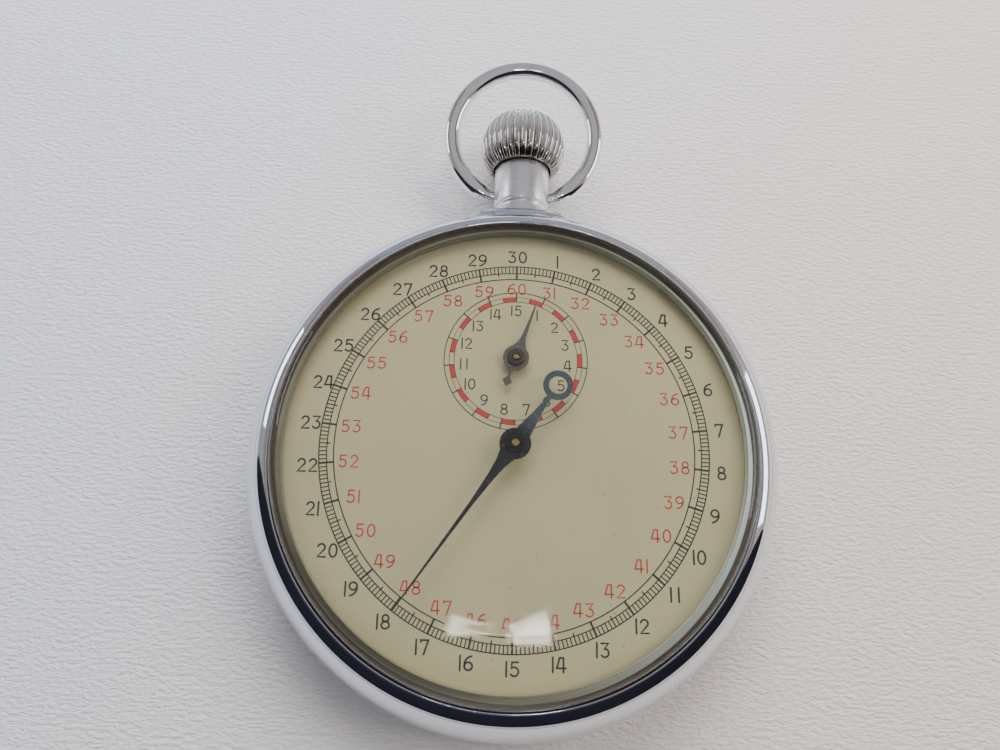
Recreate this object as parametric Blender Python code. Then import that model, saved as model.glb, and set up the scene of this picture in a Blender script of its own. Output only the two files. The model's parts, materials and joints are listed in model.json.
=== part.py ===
"""Mechanical hand stopwatch, thirty seconds to a turn, with a crown push and a fifteen-minute counter.

Run with: blender --background --python part.py
World units are metres, +Z is up. The watch lies on its back: z = 0 is the flat of the case back,
+Y runs from the centre to the pendant and the crown. Sizes below are in millimetres and are
turned into metres when a mesh is made.
"""
from math import asin, atan2, ceil, cos, hypot, pi, radians, sin, sqrt

import bpy
import bmesh
from mathutils import Euler, Vector
from mathutils.geometry import convex_hull_2d, tessellate_polygon

MM = 0.001

# ---------------------------------------------------------------- driving dimensions, mm
CASE_RADIUS = 26.0
EQUATOR_Z = 4.17
BELLY_RADIUS = 5.3
BEZEL_TOP_Z = 10.4
CASE_SEGMENTS = 40

BEZEL_SEAM_Z = 5.3
BACK_SEAM_Z = 3.1
SEAM_GAP = 0.1

DIAL_TOP_Z = 9.8
DIAL_THICKNESS = 0.4
DIAL_RADIUS = 21.55
DIAL_TURN = radians(1.04)

CRYSTAL_RADIUS = 22.3
CRYSTAL_TOP_Z = 13.5
CRYSTAL_THICKNESS = 1.0

STEM_Z = 4.75
PENDANT_RADIUS = 2.95
PENDANT_TOP_Y = 31.9
COLLAR_RADIUS = 3.1
COLLAR_TOP_Y = 26.7
CROWN_MOUTH_Y = 31.6
CROWN_BULGE_Y = 34.5
CROWN_TOP_Y = 38.5
CROWN_RADIUS = 4.7
CROWN_FLUTES = 34

BOW_PIVOT_Y = 28.4
BOW_CENTRE = 7.0
BOW_RADIUS = 7.9
BOW_WIRE = 0.925
BOW_END = 0.6
BOW_TILT = radians(8.5)

# Heights of the movement's layers, each (low, high), mm
BARREL_BRIDGE_Z = (1.3, 2.1)
TRAIN_BRIDGE_Z = (2.4, 3.2)
PALLET_BRIDGE_Z = (4.9, 5.4)
MAINPLATE_Z = (6.85, 7.85)
RATCHET_Z = (2.3, 2.75)
BARREL_TEETH_Z = (3.48, 3.85)
BARREL_TOP_Z = 6.0
LEVER_Z = (3.95, 4.35)
BALANCE_Z = (4.0, 4.4)
PUSH_LEVER_Z = (4.72, 5.12)
LEVER_SPRING_Z = (4.3, 4.65)
SWEEP_WHEEL_Z = (4.6, 4.9)
THIRD_WHEEL_Z = (5.5, 5.8)
ESCAPE_WHEEL_Z = (5.95, 6.2)
SECOND_WHEEL_Z = (6.3, 6.6)
COUNT_WHEEL_Z = (8.0, 8.4)
MINUTE_WHEEL_Z = (8.65, 9.0)
MINUTE_HAND_Z = (10.45, 10.6)
SECONDS_HAND_Z = (11.45, 11.6)

# Teeth, and the module of each meshing pair, mm
BARREL_TEETH, SECOND_LEAVES, BARREL_MODULE = 64, 8, 0.22
SECOND_TEETH, THIRD_LEAVES, SECOND_MODULE = 45, 6, 0.18
THIRD_TEETH, SWEEP_LEAVES, THIRD_MODULE = 48, 6, 0.17
SWEEP_TEETH, ESCAPE_LEAVES, SWEEP_MODULE = 60, 6, 0.135
COUNT_LEAVES, COUNT_TEETH = 6, 36
MINUTE_LEAVES, MINUTE_TEETH = 6, 30
ESCAPE_TEETH = 15
RATCHET_TEETH, CROWN_TEETH, RATCHET_MODULE = 34, 24, 0.32
WINDING_TEETH = 12
CONTRATE_RADIUS = 3.04

TIP = 0.65
ROOT = 1.35
RUN = 0.06
PIVOT = 0.15
SEAT = 0.05

# Hands as they stand, degrees clockwise from the dial's top
SECONDS_READING = 215.2
MINUTES_READING = 19.2


# ---------------------------------------------------------------- places of the arbors, mm
def meet(centre_a, radius_a, centre_b, radius_b, side):
    """The point at radius_a from centre_a and radius_b from centre_b, on the given side."""
    dx = centre_b[0] - centre_a[0]
    dy = centre_b[1] - centre_a[1]
    apart = hypot(dx, dy)
    along = (radius_a ** 2 - radius_b ** 2 + apart ** 2) / (2 * apart)
    off = side * sqrt(radius_a ** 2 - along ** 2)
    x = centre_a[0] + (along * dx - off * dy) / apart
    y = centre_a[1] + (along * dy + off * dx) / apart
    return (x, y)


def toward(origin, target, distance):
    """The point at a distance from origin, in the direction of target."""
    apart = hypot(target[0] - origin[0], target[1] - origin[1])
    share = distance / apart
    x = origin[0] + (target[0] - origin[0]) * share
    y = origin[1] + (target[1] - origin[1]) * share
    return (x, y)


def polar(origin, radius, angle):
    """The point at a radius and an angle, in radians from +X, about origin."""
    return (origin[0] + radius * cos(angle), origin[1] + radius * sin(angle))


def pair_distance(teeth_a, teeth_b, module):
    """Distance between the centres of two wheels in mesh."""
    return module * (teeth_a + teeth_b) / 2


CENTRE = (0.0, 0.0)
SUBDIAL_RADIUS = 8.4
MINUTE = polar(CENTRE, SUBDIAL_RADIUS, pi / 2 + DIAL_TURN)
CROWN_WHEEL = (0.0, 13.8)
BARREL = meet(CENTRE, 11.8, CROWN_WHEEL, pair_distance(RATCHET_TEETH, CROWN_TEETH, RATCHET_MODULE), 1)
SECOND = meet(BARREL, pair_distance(BARREL_TEETH, SECOND_LEAVES, BARREL_MODULE), CENTRE, 8.65, -1)
THIRD = meet(SECOND, pair_distance(SECOND_TEETH, THIRD_LEAVES, SECOND_MODULE),
             CENTRE, pair_distance(THIRD_TEETH, SWEEP_LEAVES, THIRD_MODULE), -1)
ESCAPE = polar(CENTRE, pair_distance(SWEEP_TEETH, ESCAPE_LEAVES, SWEEP_MODULE), radians(-60))
ESCAPE_RADIUS = 3.0
PALLET = polar(ESCAPE, ESCAPE_RADIUS / cos(radians(30)), radians(-72.5))
FORK_REACH = 4.8
BALANCE = polar(PALLET, FORK_REACH, radians(-72.5))
BALANCE_RADIUS = 5.5
COUNT = meet(CENTRE, 5.94, MINUTE, 5.94, -1)
COUNT_MODULE = 2 * 5.94 / (COUNT_LEAVES + COUNT_TEETH)
MINUTE_MODULE = 2 * 5.94 / (MINUTE_LEAVES + MINUTE_TEETH)

HAMMER = (6.5, 3.5)
COLUMN = (12.8, 4.5)
PUSH_LEVER = (8.5, 13.2)
BRAKE = (13.5, -3.5)
CLICK = (-14.1, 5.8)
JUMPER_ROOT = (16.8, 9.6)
LEVER_SPRING_ROOT = (13.0, 15.0)

BARREL_FEET = ((-9.0, 17.2), (6.0, 17.8))
BARREL_REST = (-15.6, 1.6)
TRAIN_FEET = ((-13.0, -5.5), (8.0, -1.5))
BALANCE_FOOT = (9.5, -16.5)
PALLET_FEET = ((-0.8, -8.5), (7.2, -5.5))
FOOT_RADIUS = 0.9
SCREW_HOLE = 0.42

# Finishes: base colour, metallic, roughness
FINISHES = {
    "chrome": ((0.80, 0.81, 0.83), 1.0, 0.06),
    "satin_chrome": ((0.72, 0.73, 0.74), 1.0, 0.25),
    "brass": ((0.74, 0.58, 0.30), 1.0, 0.30),
    "gilt": ((0.80, 0.66, 0.38), 1.0, 0.35),
    "steel": ((0.56, 0.57, 0.58), 1.0, 0.25),
    "blued_steel": ((0.03, 0.03, 0.04), 0.6, 0.35),
    "spring_steel": ((0.30, 0.34, 0.42), 1.0, 0.30),
    "dial": ((0.62, 0.59, 0.48), 0.1, 0.50),
    "crystal": ((0.95, 0.97, 0.95), 0.0, 0.03),
}


# ---------------------------------------------------------------- mesh makers
def clear_scene():
    """Remove what the scene holds."""
    for obj in list(bpy.data.objects):
        bpy.data.objects.remove(obj, do_unlink=True)


def finish_material(name):
    """The Principled material of a finish, made once."""
    material = bpy.data.materials.get(name)
    if material:
        return material
    colour, metallic, roughness = FINISHES[name]
    material = bpy.data.materials.new(name)
    material.use_nodes = True
    shader = material.node_tree.nodes["Principled BSDF"]
    shader.inputs["Base Color"].default_value = (*colour, 1.0)
    shader.inputs["Metallic"].default_value = metallic
    shader.inputs["Roughness"].default_value = roughness
    material.diffuse_color = (*colour, 1.0)
    return material


def make_object(name, points, faces, finish, origin=(0.0, 0.0, 0.0), turn=None):
    """One object from points in mm given about its own origin, which stands at origin in mm."""
    mesh = bpy.data.meshes.new(name)
    mesh.from_pydata([tuple(c * MM for c in point) for point in points], [], faces)
    work = bmesh.new()
    work.from_mesh(mesh)
    bmesh.ops.recalc_face_normals(work, faces=work.faces)
    work.to_mesh(mesh)
    work.free()
    mesh.shade_smooth()
    mesh.set_sharp_from_angle(angle=radians(35))
    mesh.materials.append(finish_material(finish))
    obj = bpy.data.objects.new(name, mesh)
    obj.location = tuple(c * MM for c in origin)
    if turn:
        obj.rotation_euler = turn
    bpy.context.scene.collection.objects.link(obj)
    return obj


def at(place, z=0.0):
    """A place in the plane as an origin."""
    return (place[0], place[1], z)


def stack(name, rings, finish, origin=(0.0, 0.0, 0.0), turn=None):
    """A closed body from rings of equally many points, capped at both ends."""
    count = len(rings[0])
    points = [point for ring in rings for point in ring]
    faces = [tuple(range(count)), tuple(range(len(points) - count, len(points)))]
    for level in range(len(rings) - 1):
        low = level * count
        for i in range(count):
            j = (i + 1) % count
            faces.append((low + i, low + j, low + count + j, low + count + i))
    return make_object(name, points, faces, finish, origin, turn)


def lathe(name, profile, finish, origin=(0.0, 0.0, 0.0), segments=CASE_SEGMENTS, turn=None):
    """A ring-shaped body turned from a closed profile of (radius, height)."""
    count = len(profile)
    points = []
    faces = []
    for k in range(segments):
        angle = 2 * pi * k / segments
        points += [(r * cos(angle), r * sin(angle), z) for r, z in profile]
        following = (k + 1) % segments
        for i in range(count):
            j = (i + 1) % count
            faces.append((k * count + i, k * count + j, following * count + j, following * count + i))
    return make_object(name, points, faces, finish, origin, turn)


def circle_ring(radius, z, count, phase=0.0):
    """A round ring of points."""
    return [(radius * cos(phase + 2 * pi * i / count), radius * sin(phase + 2 * pi * i / count), z)
            for i in range(count)]


def turned(name, steps, finish, origin=(0.0, 0.0, 0.0), count=12, turn=None):
    """A round shaft from (height, radius) steps."""
    return stack(name, [circle_ring(r, z, count) for z, r in steps], finish, origin, turn)


def tooth_radii(teeth, module):
    """Tip and root radius of a wheel."""
    pitch = module * teeth / 2
    return pitch + TIP * module, pitch - ROOT * module


def gear_outline(teeth, module, phase):
    """Outline of a wheel with pointed teeth, one tooth at the angle phase."""
    tip, root = tooth_radii(teeth, module)
    outline = []
    for i in range(2 * teeth):
        radius = root if i % 2 else tip
        outline.append(polar(CENTRE, radius, phase + pi * i / teeth))
    return outline


def gear_ring(teeth, module, phase, z):
    """The same outline as a ring of points at a height."""
    return [(x, y, z) for x, y in gear_outline(teeth, module, phase)]


def mate_phase(phase, teeth, place, mate_teeth, mate_place):
    """Phase that puts the mate's teeth between this wheel's teeth."""
    angle = atan2(mate_place[1] - place[1], mate_place[0] - place[0])
    share = (angle - phase) * teeth / (2 * pi)
    return angle + pi + (share + 0.5) * 2 * pi / mate_teeth


def arc(radius, start, end, count, centre=CENTRE):
    """Points along an arc, ends included."""
    return [polar(centre, radius, start + (end - start) * i / (count - 1)) for i in range(count)]


def round_outline(radius, count, centre=CENTRE):
    """A circle as an outline."""
    return [polar(centre, radius, 2 * pi * i / count) for i in range(count)]


def windows(inner, outer, count, arm, steps=5):
    """Openings between the arms of a crossed-out wheel."""
    found = []
    for k in range(count):
        start = 2 * pi * k / count
        end = 2 * pi * (k + 1) / count
        wide = arc(outer, start + arm / 2 / outer, end - arm / 2 / outer, steps)
        narrow = arc(inner, end - arm / 2 / inner, start + arm / 2 / inner, 3)
        found.append(wide + narrow)
    return found


def plate(name, outline, holes, heights, finish, place=CENTRE):
    """A flat body from an outline with holes, all given about its own origin."""
    loops = [outline] + list(holes)
    flat = [point for loop in loops for point in loop]
    triangles = tessellate_polygon([[Vector((x, y, 0.0)) for x, y in loop] for loop in loops])
    count = len(flat)
    low, high = heights
    points = [(x, y, low) for x, y in flat] + [(x, y, high) for x, y in flat]
    faces = [tuple(face) for face in triangles]
    faces += [tuple(i + count for i in face) for face in triangles]
    start = 0
    for loop in loops:
        size = len(loop)
        for i in range(size):
            a = start + i
            b = start + (i + 1) % size
            faces.append((a, b, b + count, a + count))
        start += size
    return make_object(name, points, faces, finish, at(place))


def shift(outline, place):
    """An outline in plan, given about a place instead."""
    return [(x - place[0], y - place[1]) for x, y in outline]


def wrapped(discs):
    """The outline that a band round some discs would take; each disc is (place, radius)."""
    cloud = [Vector(polar(place, radius, 2 * pi * i / 16)) for place, radius in discs for i in range(16)]
    return [tuple(cloud[i]) for i in convex_hull_2d(cloud)]


def arm_sides(root, path, widths):
    """Right and left side points of an arm that runs from root along path."""
    points = [root] + list(path)
    right = []
    left = []
    for i, point in enumerate(points):
        before = points[max(i - 1, 0)]
        after = points[min(i + 1, len(points) - 1)]
        length = hypot(after[0] - before[0], after[1] - before[1])
        nx = -(after[1] - before[1]) / length
        ny = (after[0] - before[0]) / length
        right.append((point[0] - nx * widths[i], point[1] - ny * widths[i]))
        left.append((point[0] + nx * widths[i], point[1] + ny * widths[i]))
    return right, left


def lever_outline(hub, hub_radius, arms):
    """Outline of a lever: a round hub with arms, listed anticlockwise, each (path, widths)."""
    sides = []
    for path, widths in arms:
        root = toward(hub, path[0], hub_radius * 0.8)
        right, left = arm_sides(root, path, widths)
        last = path[-1]
        heading = atan2(right[-1][1] - last[1], right[-1][0] - last[0])
        tip = [polar(last, widths[-1], heading + pi * i / 4) for i in range(1, 4)]
        sides.append((right, tip, left))
    outline = []
    for k, (right, tip, left) in enumerate(sides):
        outline += right + tip + left[::-1]
        following = sides[(k + 1) % len(sides)][0][0]
        start = atan2(left[0][1] - hub[1], left[0][0] - hub[0])
        end = atan2(following[1] - hub[1], following[0] - hub[0])
        if end <= start:
            end += 2 * pi
        steps = ceil((end - start) / radians(40))
        outline += [polar(hub, hub_radius, start + (end - start) * i / steps) for i in range(1, steps)]
    return outline


def lever(name, hub, hub_radius, arms, bore, heights, finish):
    """A flat lever that turns about its hub."""
    outline = shift(lever_outline(hub, hub_radius, arms), hub)
    return plate(name, outline, [round_outline(bore, 10)], heights, finish, hub)


def tool(obj):
    """Mark an object as a cutter or a piece to be joined, which isn't part of the result."""
    obj.hide_render = True
    obj.display_type = "WIRE"
    return obj


def combine(target, other, operation):
    """Add a Boolean modifier with the exact solver."""
    modifier = target.modifiers.new(other.name, "BOOLEAN")
    modifier.operation = operation
    modifier.solver = "EXACT"
    modifier.object = tool(other)


def rod(name, radius, low, high, place, count=12):
    """A plain upright cylinder."""
    return turned(name, [(low, radius), (high, radius)], "steel", at(place), count)


def spiral(name, inner, outer, turns, thickness, heights, steps, finish, place):
    """A flat coiled strip."""
    total = turns * steps
    rings = []
    for i in range(total + 1):
        angle = 2 * pi * i / steps
        radius = inner + (outer - inner) * i / total
        a = polar(CENTRE, radius - thickness / 2, angle)
        b = polar(CENTRE, radius + thickness / 2, angle)
        rings.append([(*a, heights[0]), (*b, heights[0]), (*b, heights[1]), (*a, heights[1])])
    return stack(name, rings, finish, at(place))


# ---------------------------------------------------------------- case
ALONG_STEM = Euler((-pi / 2, 0.0, 0.0))


def along_stem(y=0.0):
    """Origin of a piece turned about the stem's axis; its own +Z then runs along +Y."""
    return (0.0, y, STEM_Z)


def belly(z):
    """Outer radius of the case near its equator."""
    return CASE_RADIUS - BELLY_RADIUS + sqrt(BELLY_RADIUS ** 2 - (z - EQUATOR_Z) ** 2)


def boss_rings(half_width, half_height, heights):
    """Lens-shaped rings about the stem's axis; each height is (distance, scale)."""
    return [[(scale * half_width * cos(2 * pi * i / 24), scale * half_height * sin(2 * pi * i / 24), d)
             for i in range(24)] for d, scale in heights]


def case_middle():
    """The middle band of the case, with the boss that carries the pendant."""
    top = BEZEL_SEAM_Z - SEAM_GAP
    low = BACK_SEAM_Z + SEAM_GAP
    profile = [(belly(top), top), (CASE_RADIUS, EQUATOR_Z), (belly(low), low), (24.0, low), (24.0, 4.3),
               (21.75, 4.3), (21.75, 5.6), (20.75, 5.6), (20.75, 6.6), (21.75, 6.6), (21.75, 8.3),
               (23.1, 8.3), (24.5, 6.1), (24.5, top)]
    body = lathe("case_middle", profile, "chrome")
    dome = [(d, s) for d, s in ((22.0, 1.0), (24.9, 1.0))]
    dome += [(24.9 + 1.55 * sin(radians(a)), cos(radians(a))) for a in (25, 50, 74)]
    combine(body, stack("boss_body", boss_rings(6.4, 3.5, dome), "chrome", along_stem(), ALONG_STEM), "UNION")
    pocket = turned("socket_cutter", [(23.5, COLLAR_RADIUS + 0.1), (30.0, COLLAR_RADIUS + 0.1)], "steel",
                    along_stem(), 24, ALONG_STEM)
    combine(body, pocket, "DIFFERENCE")
    passage = turned("stem_passage_cutter", [(19.0, 0.95), (25.0, 0.95)], "steel", along_stem(), 12,
                     ALONG_STEM)
    combine(body, passage, "DIFFERENCE")


def bezel():
    """The front ring: slim rolled edge, sloping flank, and the seat that holds the crystal."""
    roll = 2.6
    centre = (22.65 - roll * sin(radians(15)), BEZEL_TOP_Z - roll * cos(radians(15)))
    shoulder = [(centre[0] + roll * sin(radians(a)), centre[1] + roll * cos(radians(a)))
                for a in (15, 26, 37, 48)]
    flank = [(25.2, 7.57), (25.65, 6.4)]
    profile = [(22.5, 10.3)] + shoulder + flank
    profile += [(belly(BEZEL_SEAM_Z), BEZEL_SEAM_Z), (24.75, BEZEL_SEAM_Z), (24.75, 6.2), (23.3, 8.6),
                (21.75, 8.6), (21.75, 9.7), (22.5, 9.7)]
    body = lathe("bezel", profile, "chrome")
    notch = stack("bezel_notch_cutter", boss_rings(6.55, 3.65, ((20.0, 1.0), (28.0, 1.0))), "steel",
                  along_stem(), ALONG_STEM)
    combine(body, notch, "DIFFERENCE")


def case_back():
    """The snap-on back: a shallow dish with a flat to stand on."""
    flat = 20.5
    outer = [(flat + 5.5 * cos(radians(a)), EQUATOR_Z - EQUATOR_Z * sin(radians(a))) for a in (72, 52, 34)]
    profile = [(6.0, 0.0), (flat, 0.0)] + outer
    profile += [(belly(BACK_SEAM_Z), BACK_SEAM_Z), (23.85, BACK_SEAM_Z), (23.85, 4.1), (22.9, 4.1),
                (22.9, 2.4), (20.5, 0.7), (6.0, 0.7)]
    rings = [circle_ring(r, z, CASE_SEGMENTS) for r, z in profile]
    body = stack("case_back", rings, "chrome")
    notch = stack("back_notch_cutter", boss_rings(6.55, 3.65, ((20.0, 1.0), (28.0, 1.0))), "steel",
                  along_stem(), ALONG_STEM)
    combine(body, notch, "DIFFERENCE")


def crystal():
    """The domed acrylic glass with its thick edge."""
    wall = 21.2
    under = CRYSTAL_TOP_Z - CRYSTAL_THICKNESS
    inside = [(r, under - 0.9 * (r / wall) ** 3) for r in (1.5, 12.0, 18.0, 20.9)]
    outside = [(r, CRYSTAL_TOP_Z - 1.3 * (r / CRYSTAL_RADIUS) ** 3) for r in (21.9, 18.0, 12.0, 1.5)]
    profile = inside + [(wall, 9.9), (CRYSTAL_RADIUS, 9.9), (CRYSTAL_RADIUS, 11.7)] + outside
    stack("crystal", [circle_ring(r, z, CASE_SEGMENTS) for r, z in profile], "crystal")


def pendant():
    """The tube that the crown and the bow sit on, with its foot collar."""
    bore = 1.35
    profile = [(bore, 23.6), (COLLAR_RADIUS, 23.6), (COLLAR_RADIUS, COLLAR_TOP_Y - 0.1),
               (COLLAR_RADIUS - 0.1, COLLAR_TOP_Y), (2.8, COLLAR_TOP_Y + 0.1), (2.8, COLLAR_TOP_Y + 0.25),
               (PENDANT_RADIUS, COLLAR_TOP_Y + 0.35), (PENDANT_RADIUS, PENDANT_TOP_Y - 0.15),
               (PENDANT_RADIUS - 0.15, PENDANT_TOP_Y), (bore, PENDANT_TOP_Y)]
    body = lathe("pendant", profile, "satin_chrome", along_stem(), 24, ALONG_STEM)
    across = Euler((0.0, pi / 2, 0.0))
    reach = 4.0
    hole = turned("bow_hole_cutter", [(-reach, BOW_END + RUN), (reach, BOW_END + RUN)], "steel",
                  along_stem(BOW_PIVOT_Y), 16, across)
    combine(body, hole, "DIFFERENCE")


def bow_path():
    """Centre line and radius of the bow's wire, in its own plane, from one end to the other."""
    first = radians(-54)
    last = pi - first
    steps = 24
    path = [(2.2, 0.0, BOW_END), (3.12, 0.0, BOW_END), (3.9, 0.22, 0.75)]
    for i in range(steps + 1):
        angle = first + (last - first) * i / steps
        x, y = polar((0.0, BOW_CENTRE), BOW_RADIUS, angle)
        path.append((x, y, BOW_WIRE))
    path += [(-x, y, r) for x, y, r in path[2::-1]]
    return path


def bow():
    """The open ring that the watch is carried by; its ends turn in the pendant."""
    path = bow_path()
    sides = 8
    rings = []
    for i, (x, y, radius) in enumerate(path):
        before = path[max(i - 1, 0)]
        after = path[min(i + 1, len(path) - 1)]
        heading = atan2(after[1] - before[1], after[0] - before[0])
        ring = []
        for k in range(sides):
            turn = 2 * pi * k / sides
            side = radius * cos(turn)
            ring.append((x - side * sin(heading), y + side * cos(heading), radius * sin(turn)))
        rings.append(ring)
    stack("bow", rings, "chrome", (0.0, BOW_PIVOT_Y, STEM_Z), Euler((BOW_TILT, 0.0, 0.0)))


def fluted_ring(radius, depth, y):
    """A ring with a crest and a valley for each flute."""
    ring = []
    for i in range(2 * CROWN_FLUTES):
        r = radius - depth * (i % 2)
        ring.append((r * cos(pi * i / CROWN_FLUTES), r * sin(pi * i / CROWN_FLUTES), y))
    return ring


def crown():
    """The fluted onion crown, hollow underneath so that it slides over the pendant."""
    bore = 3.12
    count = 2 * CROWN_FLUTES
    rings = [circle_ring(bore, 34.4, count), circle_ring(bore, CROWN_MOUTH_Y, count)]
    rings.append(fluted_ring(3.42, 0.12, CROWN_MOUTH_Y))
    for a in (-24, 6, 40, 68):
        half = CROWN_TOP_Y - CROWN_BULGE_Y if a > 0 else 4.0
        radius = CROWN_RADIUS * cos(radians(a)) ** 0.8
        rings.append(fluted_ring(radius, 0.07 * radius, CROWN_BULGE_Y + half * sin(radians(a))))
    rings.append(circle_ring(0.9, CROWN_TOP_Y, count))
    stack("crown", rings, "chrome", along_stem(), ALONG_STEM)


def stem():
    """The shaft from the crown into the movement, with the shoulder that carries the washer."""
    steps = ((15.4, 0.4), (15.6, 0.62), (25.78, 0.62), (25.8, 1.1), (26.3, 1.1), (26.32, 0.62), (34.3, 0.62))
    turned("stem", steps, "steel", along_stem(), 12, ALONG_STEM)
    washer = [(0.7, 25.2), (1.27, 25.2), (1.27, 25.7), (0.7, 25.7)]
    lathe("thrust_washer", washer, "steel", along_stem(), 16, ALONG_STEM)


# ---------------------------------------------------------------- plates and bridges
def bridge(name, discs, pivots, feet, heights, finish):
    """A bridge: a plate wrapped round its pivots and feet, standing on the mainplate."""
    holes = [round_outline(radius, 10, place) for place, radius in pivots]
    body = plate(name, wrapped(discs), holes, heights, finish)
    for i, place in enumerate(feet):
        foot = rod(f"{name}_foot_{i}", FOOT_RADIUS, heights[1] - 0.1, MAINPLATE_Z[0] - SEAT, place)
        combine(body, foot, "UNION")
        bore = rod(f"{name}_bore_{i}", SCREW_HOLE, heights[0] - 0.5, MAINPLATE_Z[0] + 0.5, place)
        combine(body, bore, "DIFFERENCE")
    return body


def mainplate():
    """The plate that everything is planted on, with its dial seat and its posts."""
    fine = PIVOT + RUN
    holes = [round_outline(fine, 10, place) for place in (SECOND, THIRD, ESCAPE, PALLET, BALANCE)]
    holes += [round_outline(radius, 12, place) for place, radius in (
        (CENTRE, 0.42), (MINUTE, 0.37), (COUNT, 0.36), (BARREL, 0.46), (COLUMN, 0.46))]
    screws = BARREL_FEET + TRAIN_FEET + (BALANCE_FOOT, PALLET_FEET[0])
    holes += [round_outline(SCREW_HOLE, 12, place) for place in screws]
    body = plate("mainplate", round_outline(21.3, 40), holes, MAINPLATE_Z, "gilt")
    seat = [(20.3, 7.6), (21.2, 7.6), (21.2, 9.3), (20.3, 9.3)]
    combine(body, lathe("dial_seat_ring", seat, "gilt", segments=40), "UNION")
    for name, place, end in (("hammer_post", HAMMER, 3.75), ("brake_post", BRAKE, 3.75),
                             ("push_lever_post", PUSH_LEVER, 4.5),
                             ("jumper_post", JUMPER_ROOT, PUSH_LEVER_Z[1] + SEAT),
                             ("lever_spring_post", LEVER_SPRING_ROOT, LEVER_SPRING_Z[1] + SEAT)):
        combine(body, rod(name, 0.5, end, MAINPLATE_Z[0] + 0.2, place), "UNION")


def bridges():
    """The barrel bridge, train bridge, balance cock and pallet bridge."""
    discs = ((BARREL, 3.2), (MINUTE, 1.1), (CROWN_WHEEL, 1.6), (CLICK, 1.6), (BARREL_REST, 1.2),
             (BARREL_FEET[0], 1.5), (BARREL_FEET[1], 1.5))
    pivots = ((BARREL, 0.66), (MINUTE, PIVOT + RUN))
    body = bridge("barrel_bridge", discs, pivots, BARREL_FEET, BARREL_BRIDGE_Z, "gilt")
    low = BARREL_BRIDGE_Z[0]
    combine(body, rod("crown_wheel_post", 1.0, low + 0.2, 2.8, CROWN_WHEEL), "UNION")
    combine(body, rod("click_post", 0.5, low + 0.2, 2.85, CLICK), "UNION")
    fine = PIVOT + RUN
    discs = ((SECOND, 1.7), (CENTRE, 1.7), (ESCAPE, 1.6), (TRAIN_FEET[0], 1.6), (TRAIN_FEET[1], 1.6))
    pivots = ((SECOND, fine), (THIRD, fine), (CENTRE, fine), (ESCAPE, fine))
    bridge("train_bridge", discs, pivots, TRAIN_FEET, TRAIN_BRIDGE_Z, "gilt")
    discs = ((BALANCE, 1.6), (BALANCE_FOOT, 1.7))
    bridge("balance_cock", discs, ((BALANCE, fine),), (BALANCE_FOOT,), TRAIN_BRIDGE_Z, "gilt")
    discs = ((PALLET, 0.9), (PALLET_FEET[0], 1.0), (PALLET_FEET[1], 1.0))
    bridge("pallet_bridge", discs, ((PALLET, fine),), PALLET_FEET, PALLET_BRIDGE_Z, "gilt")


def screws():
    """The screws that hold the bridges and the crown wheel."""
    named = (("barrel_bridge_screw_1", BARREL_FEET[0], BARREL_BRIDGE_Z),
             ("barrel_bridge_screw_2", BARREL_FEET[1], BARREL_BRIDGE_Z),
             ("train_bridge_screw_1", TRAIN_FEET[0], TRAIN_BRIDGE_Z),
             ("train_bridge_screw_2", TRAIN_FEET[1], TRAIN_BRIDGE_Z),
             ("balance_cock_screw", BALANCE_FOOT, TRAIN_BRIDGE_Z),
             ("pallet_bridge_screw", PALLET_FEET[0], PALLET_BRIDGE_Z))
    for name, place, heights in named:
        head = heights[0] - SEAT
        steps = ((head - 0.4, 0.8), (head, 0.85), (head + 0.001, 0.35), (7.4, 0.35))
        turned(name, steps, "spring_steel", at(place))
    steps = ((2.85, 1.0), (2.88, 1.7), (3.1, 1.7), (3.2, 1.5))
    turned("crown_wheel_screw", steps, "spring_steel", at(CROWN_WHEEL), 16)


# ---------------------------------------------------------------- going train
def wheel(name, teeth, module, phase, bore, heights, place, arms=4, finish="brass"):
    """A crossed-out wheel."""
    root = tooth_radii(teeth, module)[1]
    holes = [round_outline(bore, 10)] + windows(bore + 0.55, root - 0.45, arms, 0.5)
    return plate(name, gear_outline(teeth, module, phase), holes, heights, finish, place)


def pinion_arbor(name, place, leaves, module, phase, teeth_z, below, above, finish="steel"):
    """An arbor cut with pinion leaves; below and above are (height, radius) steps."""
    count = 2 * leaves
    rings = [circle_ring(r, z, count, phase) for z, r in below]
    rings += [gear_ring(leaves, module, phase, z) for z in teeth_z]
    rings += [circle_ring(r, z, count, phase) for z, r in above]
    return stack(name, rings, finish, at(place))


def shaft_steps(radius, low, high):
    """A pivot and its shoulder at the train bridge, and the same at the mainplate."""
    below = [(TRAIN_BRIDGE_Z[0] + 0.05, PIVOT), (3.23, PIVOT), (3.24, radius), (low, radius)]
    above = [(high, radius), (6.8, radius), (6.81, PIVOT), (7.6, PIVOT)]
    return below, above


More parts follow.
